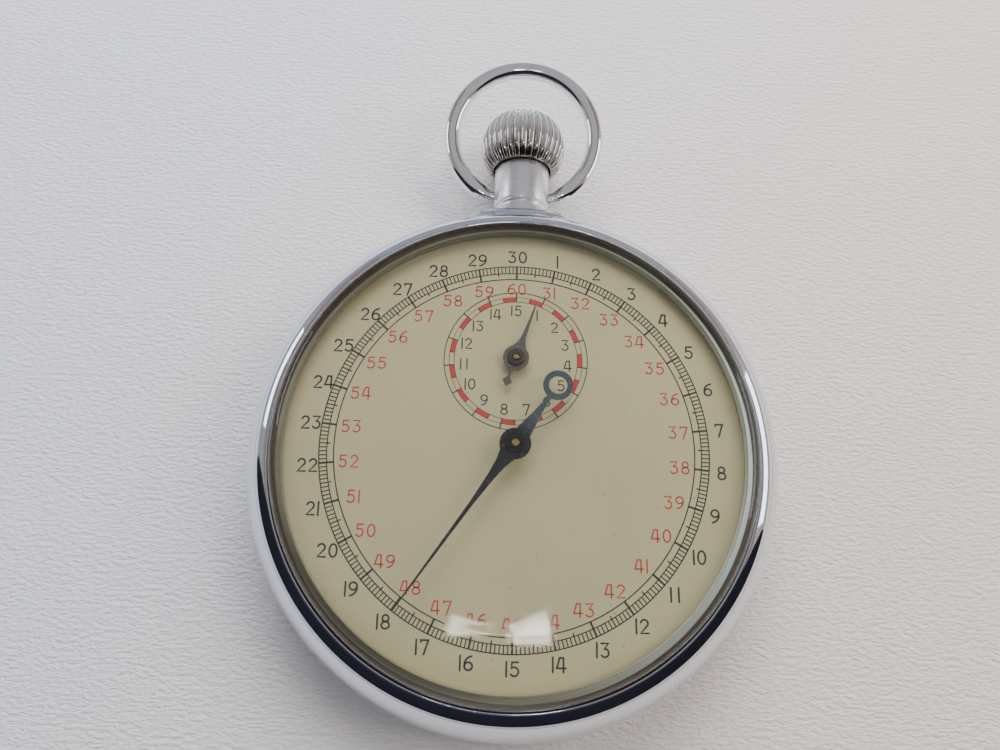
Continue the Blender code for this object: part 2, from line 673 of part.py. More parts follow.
def barrel():
    """The barrel: toothed drum, cover, mainspring and the arbor with its ratchet wheel."""
    drum, floor = 6.1, 3.7
    phase = mate_phase(SECOND_PHASE, SECOND_LEAVES, SECOND, BARREL_TEETH, BARREL)
    bore = 0.76
    body = plate("barrel_drum", gear_outline(BARREL_TEETH, BARREL_MODULE, phase), [round_outline(bore, 12)],
                 BARREL_TEETH_Z, "brass", BARREL)
    wall = [(drum - 0.5, floor), (drum, floor), (drum, BARREL_TOP_Z), (drum - 0.5, BARREL_TOP_Z)]
    combine(body, lathe("barrel_wall", wall, "brass", at(BARREL), 24), "UNION")
    cover = [(bore, 5.62), (drum - 0.56, 5.62), (drum - 0.56, 5.95), (bore, 5.95)]
    lathe("barrel_cover", cover, "brass", at(BARREL), 24)
    spiral("mainspring", 1.62, 5.42, 4, 0.22, (3.95, 5.45), 12, "spring_steel", BARREL)
    steps = ((1.35, 0.6), (2.2, 0.6), (2.21, 0.8), (2.85, 0.8), (2.86, 0.95), (3.2, 0.95), (3.21, 0.7),
             (3.86, 0.7), (3.87, 1.4), (5.5, 1.4), (5.51, 0.7), (6.2, 0.7), (6.6, 0.5), (6.8, 0.5),
             (6.81, 0.4), (7.6, 0.4))
    turned("barrel_arbor", steps, "steel", at(BARREL))
    crown_phase = pi / 2 + pi / CROWN_TEETH
    ratchet_phase = mate_phase(crown_phase, CROWN_TEETH, CROWN_WHEEL, RATCHET_TEETH, BARREL)
    outline = gear_outline(RATCHET_TEETH, RATCHET_MODULE, ratchet_phase)
    plate("ratchet_wheel", outline, [round_outline(0.86, 12)], RATCHET_Z, "steel", BARREL)


SWEEP_PHASE = 0.0
THIRD_WHEEL_PHASE = mate_phase(SWEEP_PHASE, SWEEP_LEAVES, CENTRE, THIRD_TEETH, THIRD)
THIRD_PHASE = 0.3
SECOND_WHEEL_PHASE = mate_phase(THIRD_PHASE, THIRD_LEAVES, THIRD, SECOND_TEETH, SECOND)
SECOND_PHASE = 0.2
ESCAPE_PHASE = mate_phase(SWEEP_PHASE, SWEEP_TEETH, CENTRE, ESCAPE_LEAVES, ESCAPE)


def train():
    """Second and third wheels with their pinions, and the escape wheel with its pinion."""
    below, above = shaft_steps(0.35, 3.25, 4.05)
    pinion_arbor("second_pinion", SECOND, SECOND_LEAVES, BARREL_MODULE, SECOND_PHASE, (3.26, 4.0), below[:3],
                 above)
    wheel("second_wheel", SECOND_TEETH, SECOND_MODULE, SECOND_WHEEL_PHASE, 0.4, SECOND_WHEEL_Z, SECOND)
    below, above = shaft_steps(0.28, 6.15, 6.72)
    pinion_arbor("third_pinion", THIRD, THIRD_LEAVES, SECOND_MODULE, THIRD_PHASE, (6.2, 6.7), below, above)
    wheel("third_wheel", THIRD_TEETH, THIRD_MODULE, THIRD_WHEEL_PHASE, 0.34, THIRD_WHEEL_Z, THIRD)
    below, above = shaft_steps(0.2, 4.35, 5.15)
    pinion_arbor("escape_pinion", ESCAPE, ESCAPE_LEAVES, SWEEP_MODULE, ESCAPE_PHASE, (4.4, 5.1), below, above)
    escape_wheel()


def escape_wheel():
    """Fifteen raked teeth on a light three-armed wheel."""
    outline = []
    pitch = 2 * pi / ESCAPE_TEETH
    for k in range(ESCAPE_TEETH):
        start = k * pitch
        outline.append(polar(CENTRE, 2.3, start))
        outline.append(polar(CENTRE, 2.5, start + 0.30 * pitch))
        outline.append(polar(CENTRE, ESCAPE_RADIUS, start + 0.62 * pitch))
        outline.append(polar(CENTRE, ESCAPE_RADIUS - 0.06, start + 0.78 * pitch))
    holes = [round_outline(0.26, 10)] + windows(0.75, 1.9, 3, 0.4)
    plate("escape_wheel", outline, holes, ESCAPE_WHEEL_Z, "steel", ESCAPE)


def pallets():
    """The lever with its two pallets and the fork that faces the balance."""
    line = atan2(PALLET[1] - ESCAPE[1], PALLET[0] - ESCAPE[0])
    reach = ESCAPE_RADIUS + 0.28
    entry = polar(ESCAPE, reach, line + radians(29))
    leave = polar(ESCAPE, reach, line - radians(29))
    fork = toward(PALLET, BALANCE, FORK_REACH - 1.3)
    arms = (((fork,), (0.3, 0.16)), ((entry,), (0.18, 0.1)), ((leave,), (0.18, 0.1)))
    lever("pallet_fork", PALLET, 0.55, arms, 0.3, ESCAPE_WHEEL_Z, "steel")
    steps = ((PALLET_BRIDGE_Z[0] + 0.05, PIVOT), (5.44, PIVOT), (5.45, 0.25), (6.75, 0.25), (6.76, PIVOT),
             (7.6, PIVOT))
    turned("pallet_arbor", steps, "steel", at(PALLET))


def balance():
    """The balance wheel, its staff, the roller with its impulse pin, and the hairspring."""
    holes = [round_outline(0.46, 12)] + windows(1.1, 4.8, 2, 0.9, 11)
    plate("balance_wheel", round_outline(BALANCE_RADIUS, 32), holes, BALANCE_Z, "gilt", BALANCE)
    steps = ((TRAIN_BRIDGE_Z[0] + 0.05, PIVOT), (3.24, PIVOT), (3.25, 0.45), (3.8, 0.45), (3.95, 0.4),
             (4.45, 0.4), (4.5, 0.55), (5.5, 0.3), (6.75, 0.3), (6.76, PIVOT), (7.6, PIVOT))
    turned("balance_staff", steps, "steel", at(BALANCE))
    roller = [(0.35, 5.6), (0.85, 5.6), (0.85, 5.8), (0.35, 5.8)]
    body = lathe("impulse_roller", roller, "steel", at(BALANCE), 16)
    facing = atan2(PALLET[1] - BALANCE[1], PALLET[0] - BALANCE[0])
    impulse = rod("impulse_pin", 0.1, 5.7, 6.25, polar(BALANCE, 0.7, facing), 8)
    combine(body, impulse, "UNION")
    spiral("hairspring", 0.62, 2.7, 4, 0.08, (3.5, 3.7), 12, "spring_steel", BALANCE)


# ---------------------------------------------------------------- seconds and minutes
def heart(name, place, low_direction, bore):
    """A heart-shaped cam, lowest towards low_direction."""
    least, most = 0.7, 1.45
    outline = []
    for i in range(20):
        angle = 2 * pi * i / 20
        share = min(angle, 2 * pi - angle) / pi
        outline.append(polar(CENTRE, least + (most - least) * share, low_direction + angle))
    plate(name, outline, [round_outline(bore, 10)], LEVER_Z, "steel", place)


def hammer_direction(place):
    """The way from a heart to the hammer's face that comes down on it."""
    return atan2(place[1] - HAMMER[1], place[0] - HAMMER[0]) - pi / 2


def sweep():
    """The centre arbor: sweep wheel, heart and seconds hand, with the pinion that drives the counter."""
    wheel("sweep_wheel", SWEEP_TEETH, SWEEP_MODULE, SWEEP_PHASE, 0.46, SWEEP_WHEEL_Z, CENTRE)
    count = 2 * SWEEP_LEAVES
    rings = [circle_ring(r, z, count) for z, r in (
        (TRAIN_BRIDGE_Z[0] + 0.05, PIVOT), (3.23, PIVOT), (3.24, 0.4), (5.3, 0.4))]
    rings += [gear_ring(SWEEP_LEAVES, THIRD_MODULE, SWEEP_PHASE, z) for z in (5.35, 5.95)]
    rings += [circle_ring(r, z, count) for z, r in ((6.0, 0.35), (7.9, 0.35))]
    rings += [gear_ring(COUNT_LEAVES, COUNT_MODULE, COUNT_PHASE, z) for z in (7.98, 8.45)]
    rings += [circle_ring(r, z, count) for z, r in ((8.5, 0.35), (12.1, 0.35), (12.2, 0.25))]
    stack("sweep_arbor", rings, "brass")
    direction = hammer_direction(CENTRE) - radians(SECONDS_READING)
    heart("seconds_heart", CENTRE, direction, 0.46)


COUNT_PHASE = 0.0
COUNT_WHEEL_PHASE = mate_phase(COUNT_PHASE, COUNT_LEAVES, CENTRE, COUNT_TEETH, COUNT)
MINUTE_PINION_PHASE = 0.1
MINUTE_WHEEL_PHASE = mate_phase(MINUTE_PINION_PHASE, MINUTE_LEAVES, COUNT, MINUTE_TEETH, MINUTE)


def minute_counter():
    """The wheels under the dial that slow the sweep to one turn in fifteen minutes."""
    wheel("count_wheel", COUNT_TEETH, COUNT_MODULE, COUNT_WHEEL_PHASE, 0.46, COUNT_WHEEL_Z, COUNT)
    below = [(6.95, 0.3), (7.87, 0.3), (7.9, 0.4), (8.5, 0.4)]
    above = [(9.15, 0.3), (9.2, 0.3)]
    pinion_arbor("count_pinion", COUNT, MINUTE_LEAVES, MINUTE_MODULE, MINUTE_PINION_PHASE, (8.55, 9.1),
                 below, above)
    wheel("minute_wheel", MINUTE_TEETH, MINUTE_MODULE, MINUTE_WHEEL_PHASE, 0.36, MINUTE_WHEEL_Z, MINUTE)
    steps = ((1.35, PIVOT), (2.14, PIVOT), (2.15, 0.3), (10.85, 0.3), (10.92, 0.22))
    turned("minute_arbor", steps, "brass", at(MINUTE))
    direction = hammer_direction(MINUTE) - radians(MINUTES_READING)
    heart("minute_heart", MINUTE, direction, 0.36)


def mirrored(side):
    """A closed outline from its right side, listed from tail to tip as (along, half width)."""
    right = [(w, along) for along, w in side]
    left = [(-w, along) for along, w in side[::-1] if w > 0.0]
    return right + left


def turn_outline(outline, reading):
    """An outline that points to the dial's top, turned clockwise to a reading in degrees."""
    angle = DIAL_TURN - radians(reading)
    return [(x * cos(angle) - y * sin(angle), x * sin(angle) + y * cos(angle)) for x, y in outline]


def hub_side(radius, blade_width):
    """Right side of a hub, from where the tail joins it to where the blade leaves it."""
    open_angle = asin(blade_width / radius)
    low = -pi / 2 + open_angle
    high = pi / 2 - open_angle
    return [(radius * sin(low + (high - low) * i / 6), radius * cos(low + (high - low) * i / 6))
            for i in range(7)]


def hands():
    """The centre seconds hand with its ring tail, and the small minute hand with its lozenge tail."""
    ring_centre, ring_outer, ring_inner = 6.75, 1.4, 0.85
    tail = [(-ring_centre - ring_outer * cos(radians(a)), ring_outer * sin(radians(a)))
            for a in range(0, 166, 15)]
    side = tail + [(-3.4, 0.42)] + hub_side(1.44, 0.62) + [(3.2, 0.42), (6.3, 0.2), (17.87, 0.06)]
    hole = [(x, y - ring_centre) for x, y in round_outline(ring_inner, 20)]
    outline = turn_outline(mirrored(side), SECONDS_READING)
    holes = [round_outline(0.38, 12), turn_outline(hole, SECONDS_READING)]
    plate("seconds_hand", outline, holes, SECONDS_HAND_Z, "blued_steel")
    lozenge = 2.45
    side = [(-lozenge - 0.5, 0.0), (-lozenge, 0.47), (-lozenge + 0.5, 0.13)]
    side += hub_side(1.24, 0.3) + [(3.0, 0.17), (5.5, 0.05)]
    outline = turn_outline(mirrored(side), MINUTES_READING)
    plate("minute_hand", outline, [round_outline(0.34, 12)], MINUTE_HAND_Z, "blued_steel", MINUTE)


def dial():
    """The printed plate, pierced for the two arbors."""
    holes = [round_outline(0.9, 16), round_outline(0.7, 12, MINUTE)]
    heights = (DIAL_TOP_Z - DIAL_THICKNESS, DIAL_TOP_Z)
    plate("dial", round_outline(DIAL_RADIUS, CASE_SEGMENTS), holes, heights, "dial")


# ---------------------------------------------------------------- winding
def winding():
    """Winding pinion, crown wheel with its face teeth, click and click spring."""
    low, high = RATCHET_Z
    count = 2 * CROWN_TEETH
    phase = pi / 2 + pi / CROWN_TEETH
    bore, inner, outer = 1.06, CONTRATE_RADIUS - 0.34, CONTRATE_RADIUS + 0.34
    rims = [circle_ring(bore, low, count, phase), gear_ring(CROWN_TEETH, RATCHET_MODULE, phase, low),
            gear_ring(CROWN_TEETH, RATCHET_MODULE, phase, high - SEAT)]
    crests = [3.4 if i % 2 == 0 else 2.93 for i in range(count)]
    for radius, lift in ((outer, False), (outer, True), (inner, True), (inner, False)):
        ring = circle_ring(radius, high - SEAT, count, phase)
        if lift:
            ring = [(point[0], point[1], crest) for point, crest in zip(ring, crests)]
        rims.append(ring)
    rims.append(circle_ring(bore, high - SEAT, count, phase))
    closed_rings("crown_wheel", rims, "steel", at(CROWN_WHEEL))
    module = 2 * CONTRATE_RADIUS * WINDING_TEETH / CROWN_TEETH / WINDING_TEETH
    pitch = CONTRATE_RADIUS * WINDING_TEETH / CROWN_TEETH
    count = 2 * WINDING_TEETH
    first, last = 16.55, 17.9
    radii = [pitch + 0.2 if i % 2 == 0 else pitch - ROOT * module for i in range(count)]
    toothed = []
    for y in (first, last):
        ring = circle_ring(1.0, y, count, pi / 2)
        toothed.append([(point[0] * r, point[1] * r, y) for point, r in zip(ring, radii)])
    bore = 0.62 + RUN
    rims = [circle_ring(bore, first, count, pi / 2), toothed[0], toothed[1],
            circle_ring(bore, last, count, pi / 2)]
    closed_rings("winding_pinion", rims, "steel", along_stem(), ALONG_STEM)
    click()


def closed_rings(name, rings, finish, origin, turn=None):
    """A ring-shaped body from rings of equally many points, the last joined to the first."""
    count = len(rings[0])
    total = len(rings)
    points = [point for ring in rings for point in ring]
    faces = []
    for level in range(total):
        low = level * count
        high = (level + 1) % total * count
        for i in range(count):
            j = (i + 1) % count
            faces.append((low + i, low + j, high + j, high + i))
    return make_object(name, points, faces, finish, origin, turn)


def click():
    """The click that holds the ratchet wheel, and its spring."""
    tip = tooth_radii(RATCHET_TEETH, RATCHET_MODULE)[0]
    facing = atan2(CLICK[1] - BARREL[1], CLICK[0] - BARREL[0])
    nose = polar(BARREL, tip + 0.3, facing + radians(24))
    tail = polar(BARREL, tip + 1.4, facing - radians(14))
    arms = (((tail,), (0.3, 0.25)), ((nose,), (0.4, 0.2)))
    lever("click", CLICK, 1.0, arms, 0.5 + RUN, RATCHET_Z, "steel")
    outline = lever_outline((-15.4, 3.4), 0.55, ((((-13.9, 3.9), (-12.6, 4.1)), (0.2, 0.12, 0.08)),))
    plate("click_spring", outline, (), (BARREL_BRIDGE_Z[1] + SEAT, RATCHET_Z[1]), "spring_steel")


# ---------------------------------------------------------------- start, stop and return
def column_wheel():
    """Six columns above a twelve-toothed ratchet, on a stub that turns in the mainplate."""
    count = 24
    rings = [circle_ring(0.9, 3.58, count)]
    for z in (3.6, 4.5):
        rings.append([(*polar(CENTRE, 1.9 if i % 4 < 2 else 1.25, 2 * pi * i / count), z)
                      for i in range(count)])
    for z in (4.6, 5.1):
        rings.append([(*polar(CENTRE, 2.5 if i % 2 else 2.15, 2 * pi * i / count), z) for i in range(count)])
    rings += [circle_ring(r, z, count) for z, r in ((5.2, 0.8), (6.8, 0.8), (6.81, 0.4), (7.6, 0.4))]
    stack("column_wheel", rings, "steel", at(COLUMN))


def levers():
    """The push lever, hammer and brake, and the two springs beside them."""
    tip = (0.0, 14.75)
    bend = (4.2, 14.9)
    pawl = toward(PUSH_LEVER, COLUMN, 6.7)
    pawl = polar(pawl, 0.55, radians(205))
    arms = (((bend, tip), (0.55, 0.45, 0.35)), ((pawl,), (0.5, 0.22)))
    lever("push_lever", PUSH_LEVER, 1.1, arms, 0.5 + RUN, PUSH_LEVER_Z, "steel")
    over_minute = polar(MINUTE, 2.45, hammer_direction(MINUTE))
    across = hammer_direction(MINUTE) - pi / 2
    near = polar(over_minute, 1.3, across)
    far = polar(over_minute, 0.9, across + pi)
    arms = ((((10.5, 4.55),), (0.45, 0.28)), (((5.2, 8.6), near, far), (0.5, 0.45, 0.45, 0.45)),
            (((-0.6, 2.35),), (0.5, 0.42)))
    lever("hammer", HAMMER, 1.0, arms, 0.5 + RUN, LEVER_Z, "steel")
    rim = polar(BALANCE, BALANCE_RADIUS + 0.5, radians(43))
    arms = (((13.2, 1.95),), (0.4, 0.25)), ((rim,), (0.4, 0.18))
    lever("brake_lever", BRAKE, 0.95, arms, 0.5 + RUN, LEVER_Z, "steel")
    outline = lever_outline(JUMPER_ROOT, 0.7, ((((16.6, 6.8), (15.55, 5.3)), (0.2, 0.14, 0.1)),))
    plate("column_jumper", outline, (), PUSH_LEVER_Z, "spring_steel")
    outline = lever_outline(LEVER_SPRING_ROOT, 0.7, ((((9.8, 15.6), (5.0, 15.75)), (0.2, 0.14, 0.1)),))
    plate("push_lever_spring", outline, (), LEVER_SPRING_Z, "spring_steel")


def build():
    """Make every piece."""
    clear_scene()
    case_middle()
    bezel()
    case_back()
    crystal()
    pendant()
    bow()
    crown()
    stem()
    mainplate()
    bridges()
    screws()
    barrel()
    train()
    pallets()
    balance()
    sweep()
    minute_counter()
    hands()
    dial()
    winding()
    column_wheel()
    levers()


build()
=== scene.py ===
"""Looks of a hand-held mechanical stopwatch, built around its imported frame.

Lengths in the classes below are in millimetres in the watch's own frame: z is zero on the flat of the
back, +Y runs from the centre to the crown, and +Z runs out through the dial. Angles on the dial are
degrees clockwise from its top.
"""

import json
import logging
from dataclasses import dataclass
from enum import Enum
from math import asin, atan2, cos, hypot, pi, radians, sin, sqrt
from typing import Iterable, Sequence

import bpy
import bmesh
from mathutils import Euler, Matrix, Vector
from mathutils.geometry import tessellate_polygon


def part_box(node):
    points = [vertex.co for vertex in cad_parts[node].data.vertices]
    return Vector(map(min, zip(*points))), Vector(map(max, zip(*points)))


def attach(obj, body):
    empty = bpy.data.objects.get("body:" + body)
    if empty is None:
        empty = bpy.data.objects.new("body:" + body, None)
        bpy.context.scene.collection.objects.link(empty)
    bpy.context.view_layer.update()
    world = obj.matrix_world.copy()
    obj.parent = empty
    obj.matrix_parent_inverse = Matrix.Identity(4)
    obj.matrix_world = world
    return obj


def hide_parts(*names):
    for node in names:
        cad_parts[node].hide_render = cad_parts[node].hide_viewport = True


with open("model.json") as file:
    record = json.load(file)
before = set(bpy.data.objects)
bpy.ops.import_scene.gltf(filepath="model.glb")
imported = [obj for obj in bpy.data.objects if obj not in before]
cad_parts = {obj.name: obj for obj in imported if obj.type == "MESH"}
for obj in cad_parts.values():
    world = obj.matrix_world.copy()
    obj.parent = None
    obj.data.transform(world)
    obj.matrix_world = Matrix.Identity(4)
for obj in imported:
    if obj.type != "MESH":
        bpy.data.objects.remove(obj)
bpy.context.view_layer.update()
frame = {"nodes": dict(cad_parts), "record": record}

MM = 0.001
FULL_TURN = 2 * pi
LOG = logging.getLogger("stopwatch")

DIAL_TURN = radians(1.04)
Point = tuple[float, float]
Outline = list[Point]
Socket = bpy.types.NodeSocket


# ------------------------------------------------------------------ colours and node work
@dataclass(frozen=True)
class Tone:
    """A colour in linear light."""

    red: float
    green: float
    blue: float

    def rgba(self) -> tuple[float, float, float, float]:
        """The colour with full alpha."""
        return (self.red, self.green, self.blue, 1.0)

    def scaled(self, share: float) -> "Tone":
        """The colour made darker or lighter."""
        return Tone(self.red * share, self.green * share, self.blue * share)


class NodeBench:
    """One material's nodes, with the few operations that the finishes share.

    The place that the textures read is the piece's own, in millimetres.
    """

    def __init__(self, name: str) -> None:
        """Make the material and its place in millimetres.

        Args:
            name: The material's name.
        """
        self.material = bpy.data.materials.new(name)
        self.material.use_nodes = True
        self.tree = self.material.node_tree
        self.shader = self.tree.nodes["Principled BSDF"]
        self.output = self.tree.nodes["Material Output"]
        source = self.add("ShaderNodeTexCoord")
        self.place = self.stretched((1 / MM, 1 / MM, 1 / MM), source.outputs["Object"])

    def add(self, kind: str) -> bpy.types.Node:
        """A new node of a kind."""
        return self.tree.nodes.new(kind)

    def feed(self, socket: Socket, value: object) -> None:
        """Link a socket to the value if it is a socket, or else set it.

        Args:
            socket: The input to fill.
            value: An output to link, or a plain value.
        """
        if isinstance(value, bpy.types.NodeSocket):
            self.tree.links.new(value, socket)
        else:
            socket.default_value = value

    def set(self, name: str, value: object) -> None:
        """Fill one of the shader's inputs."""
        self.feed(self.shader.inputs[name], value)

    def stretched(self, scale: tuple[float, float, float], place: Socket | None = None) -> Socket:
        """The place with each axis scaled.

        Args:
            scale: A factor for each axis.
            place: The place to scale, the piece's own unless given.

        Returns:
            The scaled place.
        """
        node = self.add("ShaderNodeMapping")
        self.feed(node.inputs["Vector"], place or self.place)
        node.inputs["Scale"].default_value = scale
        return node.outputs["Vector"]

    def axes(self) -> tuple[Socket, Socket, Socket]:
        """The place split up.

        Returns:
            The piece's own X, Y and Z, in millimetres.
        """
        node = self.add("ShaderNodeSeparateXYZ")
        self.feed(node.inputs[0], self.place)
        return (node.outputs["X"], node.outputs["Y"], node.outputs["Z"])

    def away_squared(self, x: Socket, y: Socket) -> Socket:
        """Square of the distance from the Z axis."""
        return self.sum("ADD", self.sum("MULTIPLY", x, x), self.sum("MULTIPLY", y, y))

    def around(self, along: float, across: float) -> Socket:
        """The place wound round the Z axis, for marks left by turning or circular brushing.

        Args:
            along: Scale of the way round, per radian.
            across: Scale of the distance from the axis, per millimetre.

        Returns:
            The wound place.
        """
        x, y, z = self.axes()
        away = self.sum("SQRT", self.away_squared(x, y), 0.0)
        joined = self.add("ShaderNodeCombineXYZ")
        self.feed(joined.inputs["X"], self.sum("MULTIPLY", self.sum("ARCTAN2", y, x), along))
        self.feed(joined.inputs["Y"], self.sum("MULTIPLY", away, across))
        self.feed(joined.inputs["Z"], self.sum("MULTIPLY", z, across))
        return joined.outputs[0]

    def sum(self, operation: str, first: object, second: object) -> Socket:
        """Arithmetic on two values.

        Args:
            operation: The name of the sum, as the Math node has it.
            first: A number or an output.
            second: A number or an output.

        Returns:
            The result.
        """
        node = self.add("ShaderNodeMath")
        node.operation = operation
        self.feed(node.inputs[0], first)
        self.feed(node.inputs[1], second)
        return node.outputs[0]

    def noise(self, scale: float, detail: float = 3.0, place: Socket | None = None,
              roughness: float = 0.5) -> Socket:
        """Soft noise with a number of features to the millimetre.

        Args:
            scale: Features to the millimetre.
            detail: How many finer layers lie over the first.
            place: The place it reads, the piece's own unless given.
            roughness: Weight of the finer layers.

        Returns:
            Nought to one, mostly near a half.
        """
        node = self.add("ShaderNodeTexNoise")
        self.feed(node.inputs["Vector"], place or self.place)
        node.inputs["Scale"].default_value = scale
        node.inputs["Detail"].default_value = detail
        node.inputs["Roughness"].default_value = roughness
        return node.outputs["Fac"]

    def cells(self, scale: float, place: Socket | None = None) -> Socket:
        """Distance to scattered points, for specks and pits.

        Args:
            scale: Points to the millimetre.
            place: The place it reads, the piece's own unless given.

        Returns:
            The distance, in spacings of the points.
        """
        node = self.add("ShaderNodeTexVoronoi")
        self.feed(node.inputs["Vector"], place or self.place)
        node.inputs["Scale"].default_value = scale
        return node.outputs["Distance"]

    def span(self, value: Socket, low: float, high: float, start: float = 0.0, end: float = 1.0) -> Socket:
        """Map low..high to start..end, clamped.

        Args:
            value: What to map.
            low: The value that gives start.
            high: The value that gives end.
            start: Result at low.
            end: Result at high.

        Returns:
            The mapped value.
        """
        node = self.add("ShaderNodeMapRange")
        self.feed(node.inputs["Value"], value)
        for name, number in (("From Min", low), ("From Max", high), ("To Min", start), ("To Max", end)):
            node.inputs[name].default_value = number
        return node.outputs["Result"]

    def blend(self, share: object, first: object, second: object) -> Socket:
        """Mix two colours.

        Args:
            share: How much of the second there is.
            first: A Tone or an output.
            second: A Tone or an output.

        Returns:
            The mixed colour.
        """
        node = self.add("ShaderNodeMix")
        node.data_type = "RGBA"
        self.feed(node.inputs["Factor"], share)
        for socket, colour in ((node.inputs[6], first), (node.inputs[7], second)):
            self.feed(socket, colour.rgba() if isinstance(colour, Tone) else colour)
        return node.outputs[2]

    def bump(self, height: Socket, depth: float, strength: float = 1.0,
             under: Socket | None = None) -> Socket:
        """A surface relief.

        Args:
            height: The relief, nought to one.
            depth: Height of one, in millimetres.
            strength: Share of the relief that shows.
            under: Relief that this one lies on.

        Returns:
            The bent normal.
        """
        node = self.add("ShaderNodeBump")
        node.inputs["Distance"].default_value = depth * MM
        node.inputs["Strength"].default_value = strength
        self.feed(node.inputs["Height"], height)
        if under is not None:
            self.feed(node.inputs["Normal"], under)
        return node.outputs["Normal"]

    def scratches(self, count: float, turns: Iterable[float]) -> Socket:
        """Fine straight scratches in a few directions.

        Args:
            count: Scratches to the millimetre, across them.
            turns: Direction of each set, in degrees.

        Returns:
            One along a scratch, nought elsewhere.
        """
        found: Socket | None = None
        for turn in turns:
            node = self.add("ShaderNodeMapping")
            self.feed(node.inputs["Vector"], self.place)
            node.inputs["Rotation"].default_value = (0.0, 0.0, radians(turn))
            narrow = self.stretched((count, count * 0.035, count), node.outputs["Vector"])
            mark = self.span(self.noise(1.0, 1.0, narrow), 0.735, 0.77)
            found = mark if found is None else self.sum("MAXIMUM", found, mark)
        return found


# ------------------------------------------------------------------ finishes
@dataclass(frozen=True)
class Finish:
    """A finish, which gives a material."""

    name: str

    def material(self) -> bpy.types.Material:
        """The finish's material, made once.

        Returns:
            The material.
        """
        known = bpy.data.materials.get(self.name)
        if known:
            return known
        bench = NodeBench(self.name)
        self.mix(bench)
        return bench.material

    def mix(self, bench: NodeBench) -> None:
        """Set the nodes of the finish."""
        raise NotImplementedError


@dataclass(frozen=True)
class PolishedPlate(Finish):
    """Polished chrome plate with handling marks."""

    tone: Tone = Tone(0.71, 0.745, 0.82)
    roughness: float = 0.035
    wear: float = 1.0

    def mix(self, bench: NodeBench) -> None:
        """Mirror metal, a little uneven, with fine scratches and dull patches.

        Args:
            bench: The material to mix.
        """
        dull = bench.span(bench.noise(0.35, 4.0), 0.45, 0.75)
        fine = bench.scratches(5.0, (12.0, 71.0, 128.0))
        grime = bench.span(bench.noise(1.6, 5.0, roughness=0.7), 0.58, 0.78, 0.0, 0.35 * self.wear)
        bench.set("Base Color", bench.blend(grime, self.tone, self.tone.scaled(0.72)))
        bench.set("Metallic", 1.0)
        spread = bench.sum("ADD", bench.sum("MULTIPLY", dull, 0.05 * self.wear),
                           bench.sum("MULTIPLY", fine, 0.10 * self.wear))
        bench.set("Roughness", bench.sum("ADD", spread, self.roughness))
        wave = bench.bump(bench.noise(0.22, 2.0), 0.02, 0.5)
        bench.set("Normal", bench.bump(fine, 0.0015, 0.5 * self.wear, wave))


@dataclass(frozen=True)
class HandledPlate(PolishedPlate):
    """Polished plate with brown grime and painted dark reflection gathered towards one end of the piece's own
    axis.
    """

    dirt: Tone = Tone(0.20, 0.145, 0.10)
    clean_from: float = 35.2
    dirty_at: float = 32.4

    def mix(self, bench: NodeBench) -> None:
        """The polished plate, with ragged grime and painted dark reflection over it.

        Args:
            bench: The material to mix.
        """
        super().mix(bench)
        shown = bench.shader.inputs["Base Color"].links[0].from_socket
        # Grime and painted dark reflection: ragged brown darkening towards the crown's mouth.
        share = bench.span(bench.axes()[2], self.clean_from, self.dirty_at, 0.0, 0.85)
        ragged = bench.span(bench.noise(0.8, 5.0, roughness=0.65), 0.30, 0.62, 0.35, 1.0)
        bench.set("Base Color", bench.blend(bench.sum("MULTIPLY", share, ragged), shown, self.dirt))


@dataclass(frozen=True)
class TurnedMetal(Finish):
    """Metal with the fine rings that a lathe or a round brush leaves."""

    tone: Tone
    roughness: float = 0.25
    relief: float = 0.004
    tarnish: float = 0.4

    def mix(self, bench: NodeBench) -> None:
        """Rings round the piece's axis, tarnished in patches.

        Args:
            bench: The material to mix.
        """
        rings = bench.noise(1.0, 4.0, bench.around(0.6, 22.0), 0.65)
        patch = bench.span(bench.noise(0.7, 5.0, roughness=0.6), 0.42, 0.72, 0.0, self.tarnish)
        bench.set("Base Color", bench.blend(patch, self.tone, self.tone.scaled(0.6)))
        bench.set("Metallic", 1.0)
        bench.set("Roughness", bench.span(rings, 0.3, 0.7, self.roughness * 0.7, self.roughness * 1.35))
        bench.set("Normal", bench.bump(rings, self.relief, 0.8))


@dataclass(frozen=True)
class GiltFrosted(Finish):
    """Frosted gilt plate of the bridges, with dots polished over it."""

    tone: Tone = Tone(0.74, 0.56, 0.28)

    def mix(self, bench: NodeBench) -> None:
        """Overlapping polished dots and a fine frosted grain.

        Args:
            bench: The material to mix.
        """
        dots = bench.span(bench.cells(0.75), 0.0, 0.7)
        swirl = bench.noise(1.0, 2.0, bench.around(2.0, 6.0))
        grain = bench.noise(14.0, 3.0)
        shade = bench.span(bench.noise(0.3, 4.0), 0.35, 0.7, 0.0, 0.45)
        bench.set("Base Color", bench.blend(shade, self.tone, self.tone.scaled(0.75)))
        bench.set("Metallic", 1.0)
        bench.set("Roughness", bench.span(bench.sum("ADD", dots, swirl), 0.4, 1.4, 0.22, 0.42))
        low = bench.bump(dots, 0.01, 0.5)
        bench.set("Normal", bench.bump(grain, 0.002, 0.6, low))


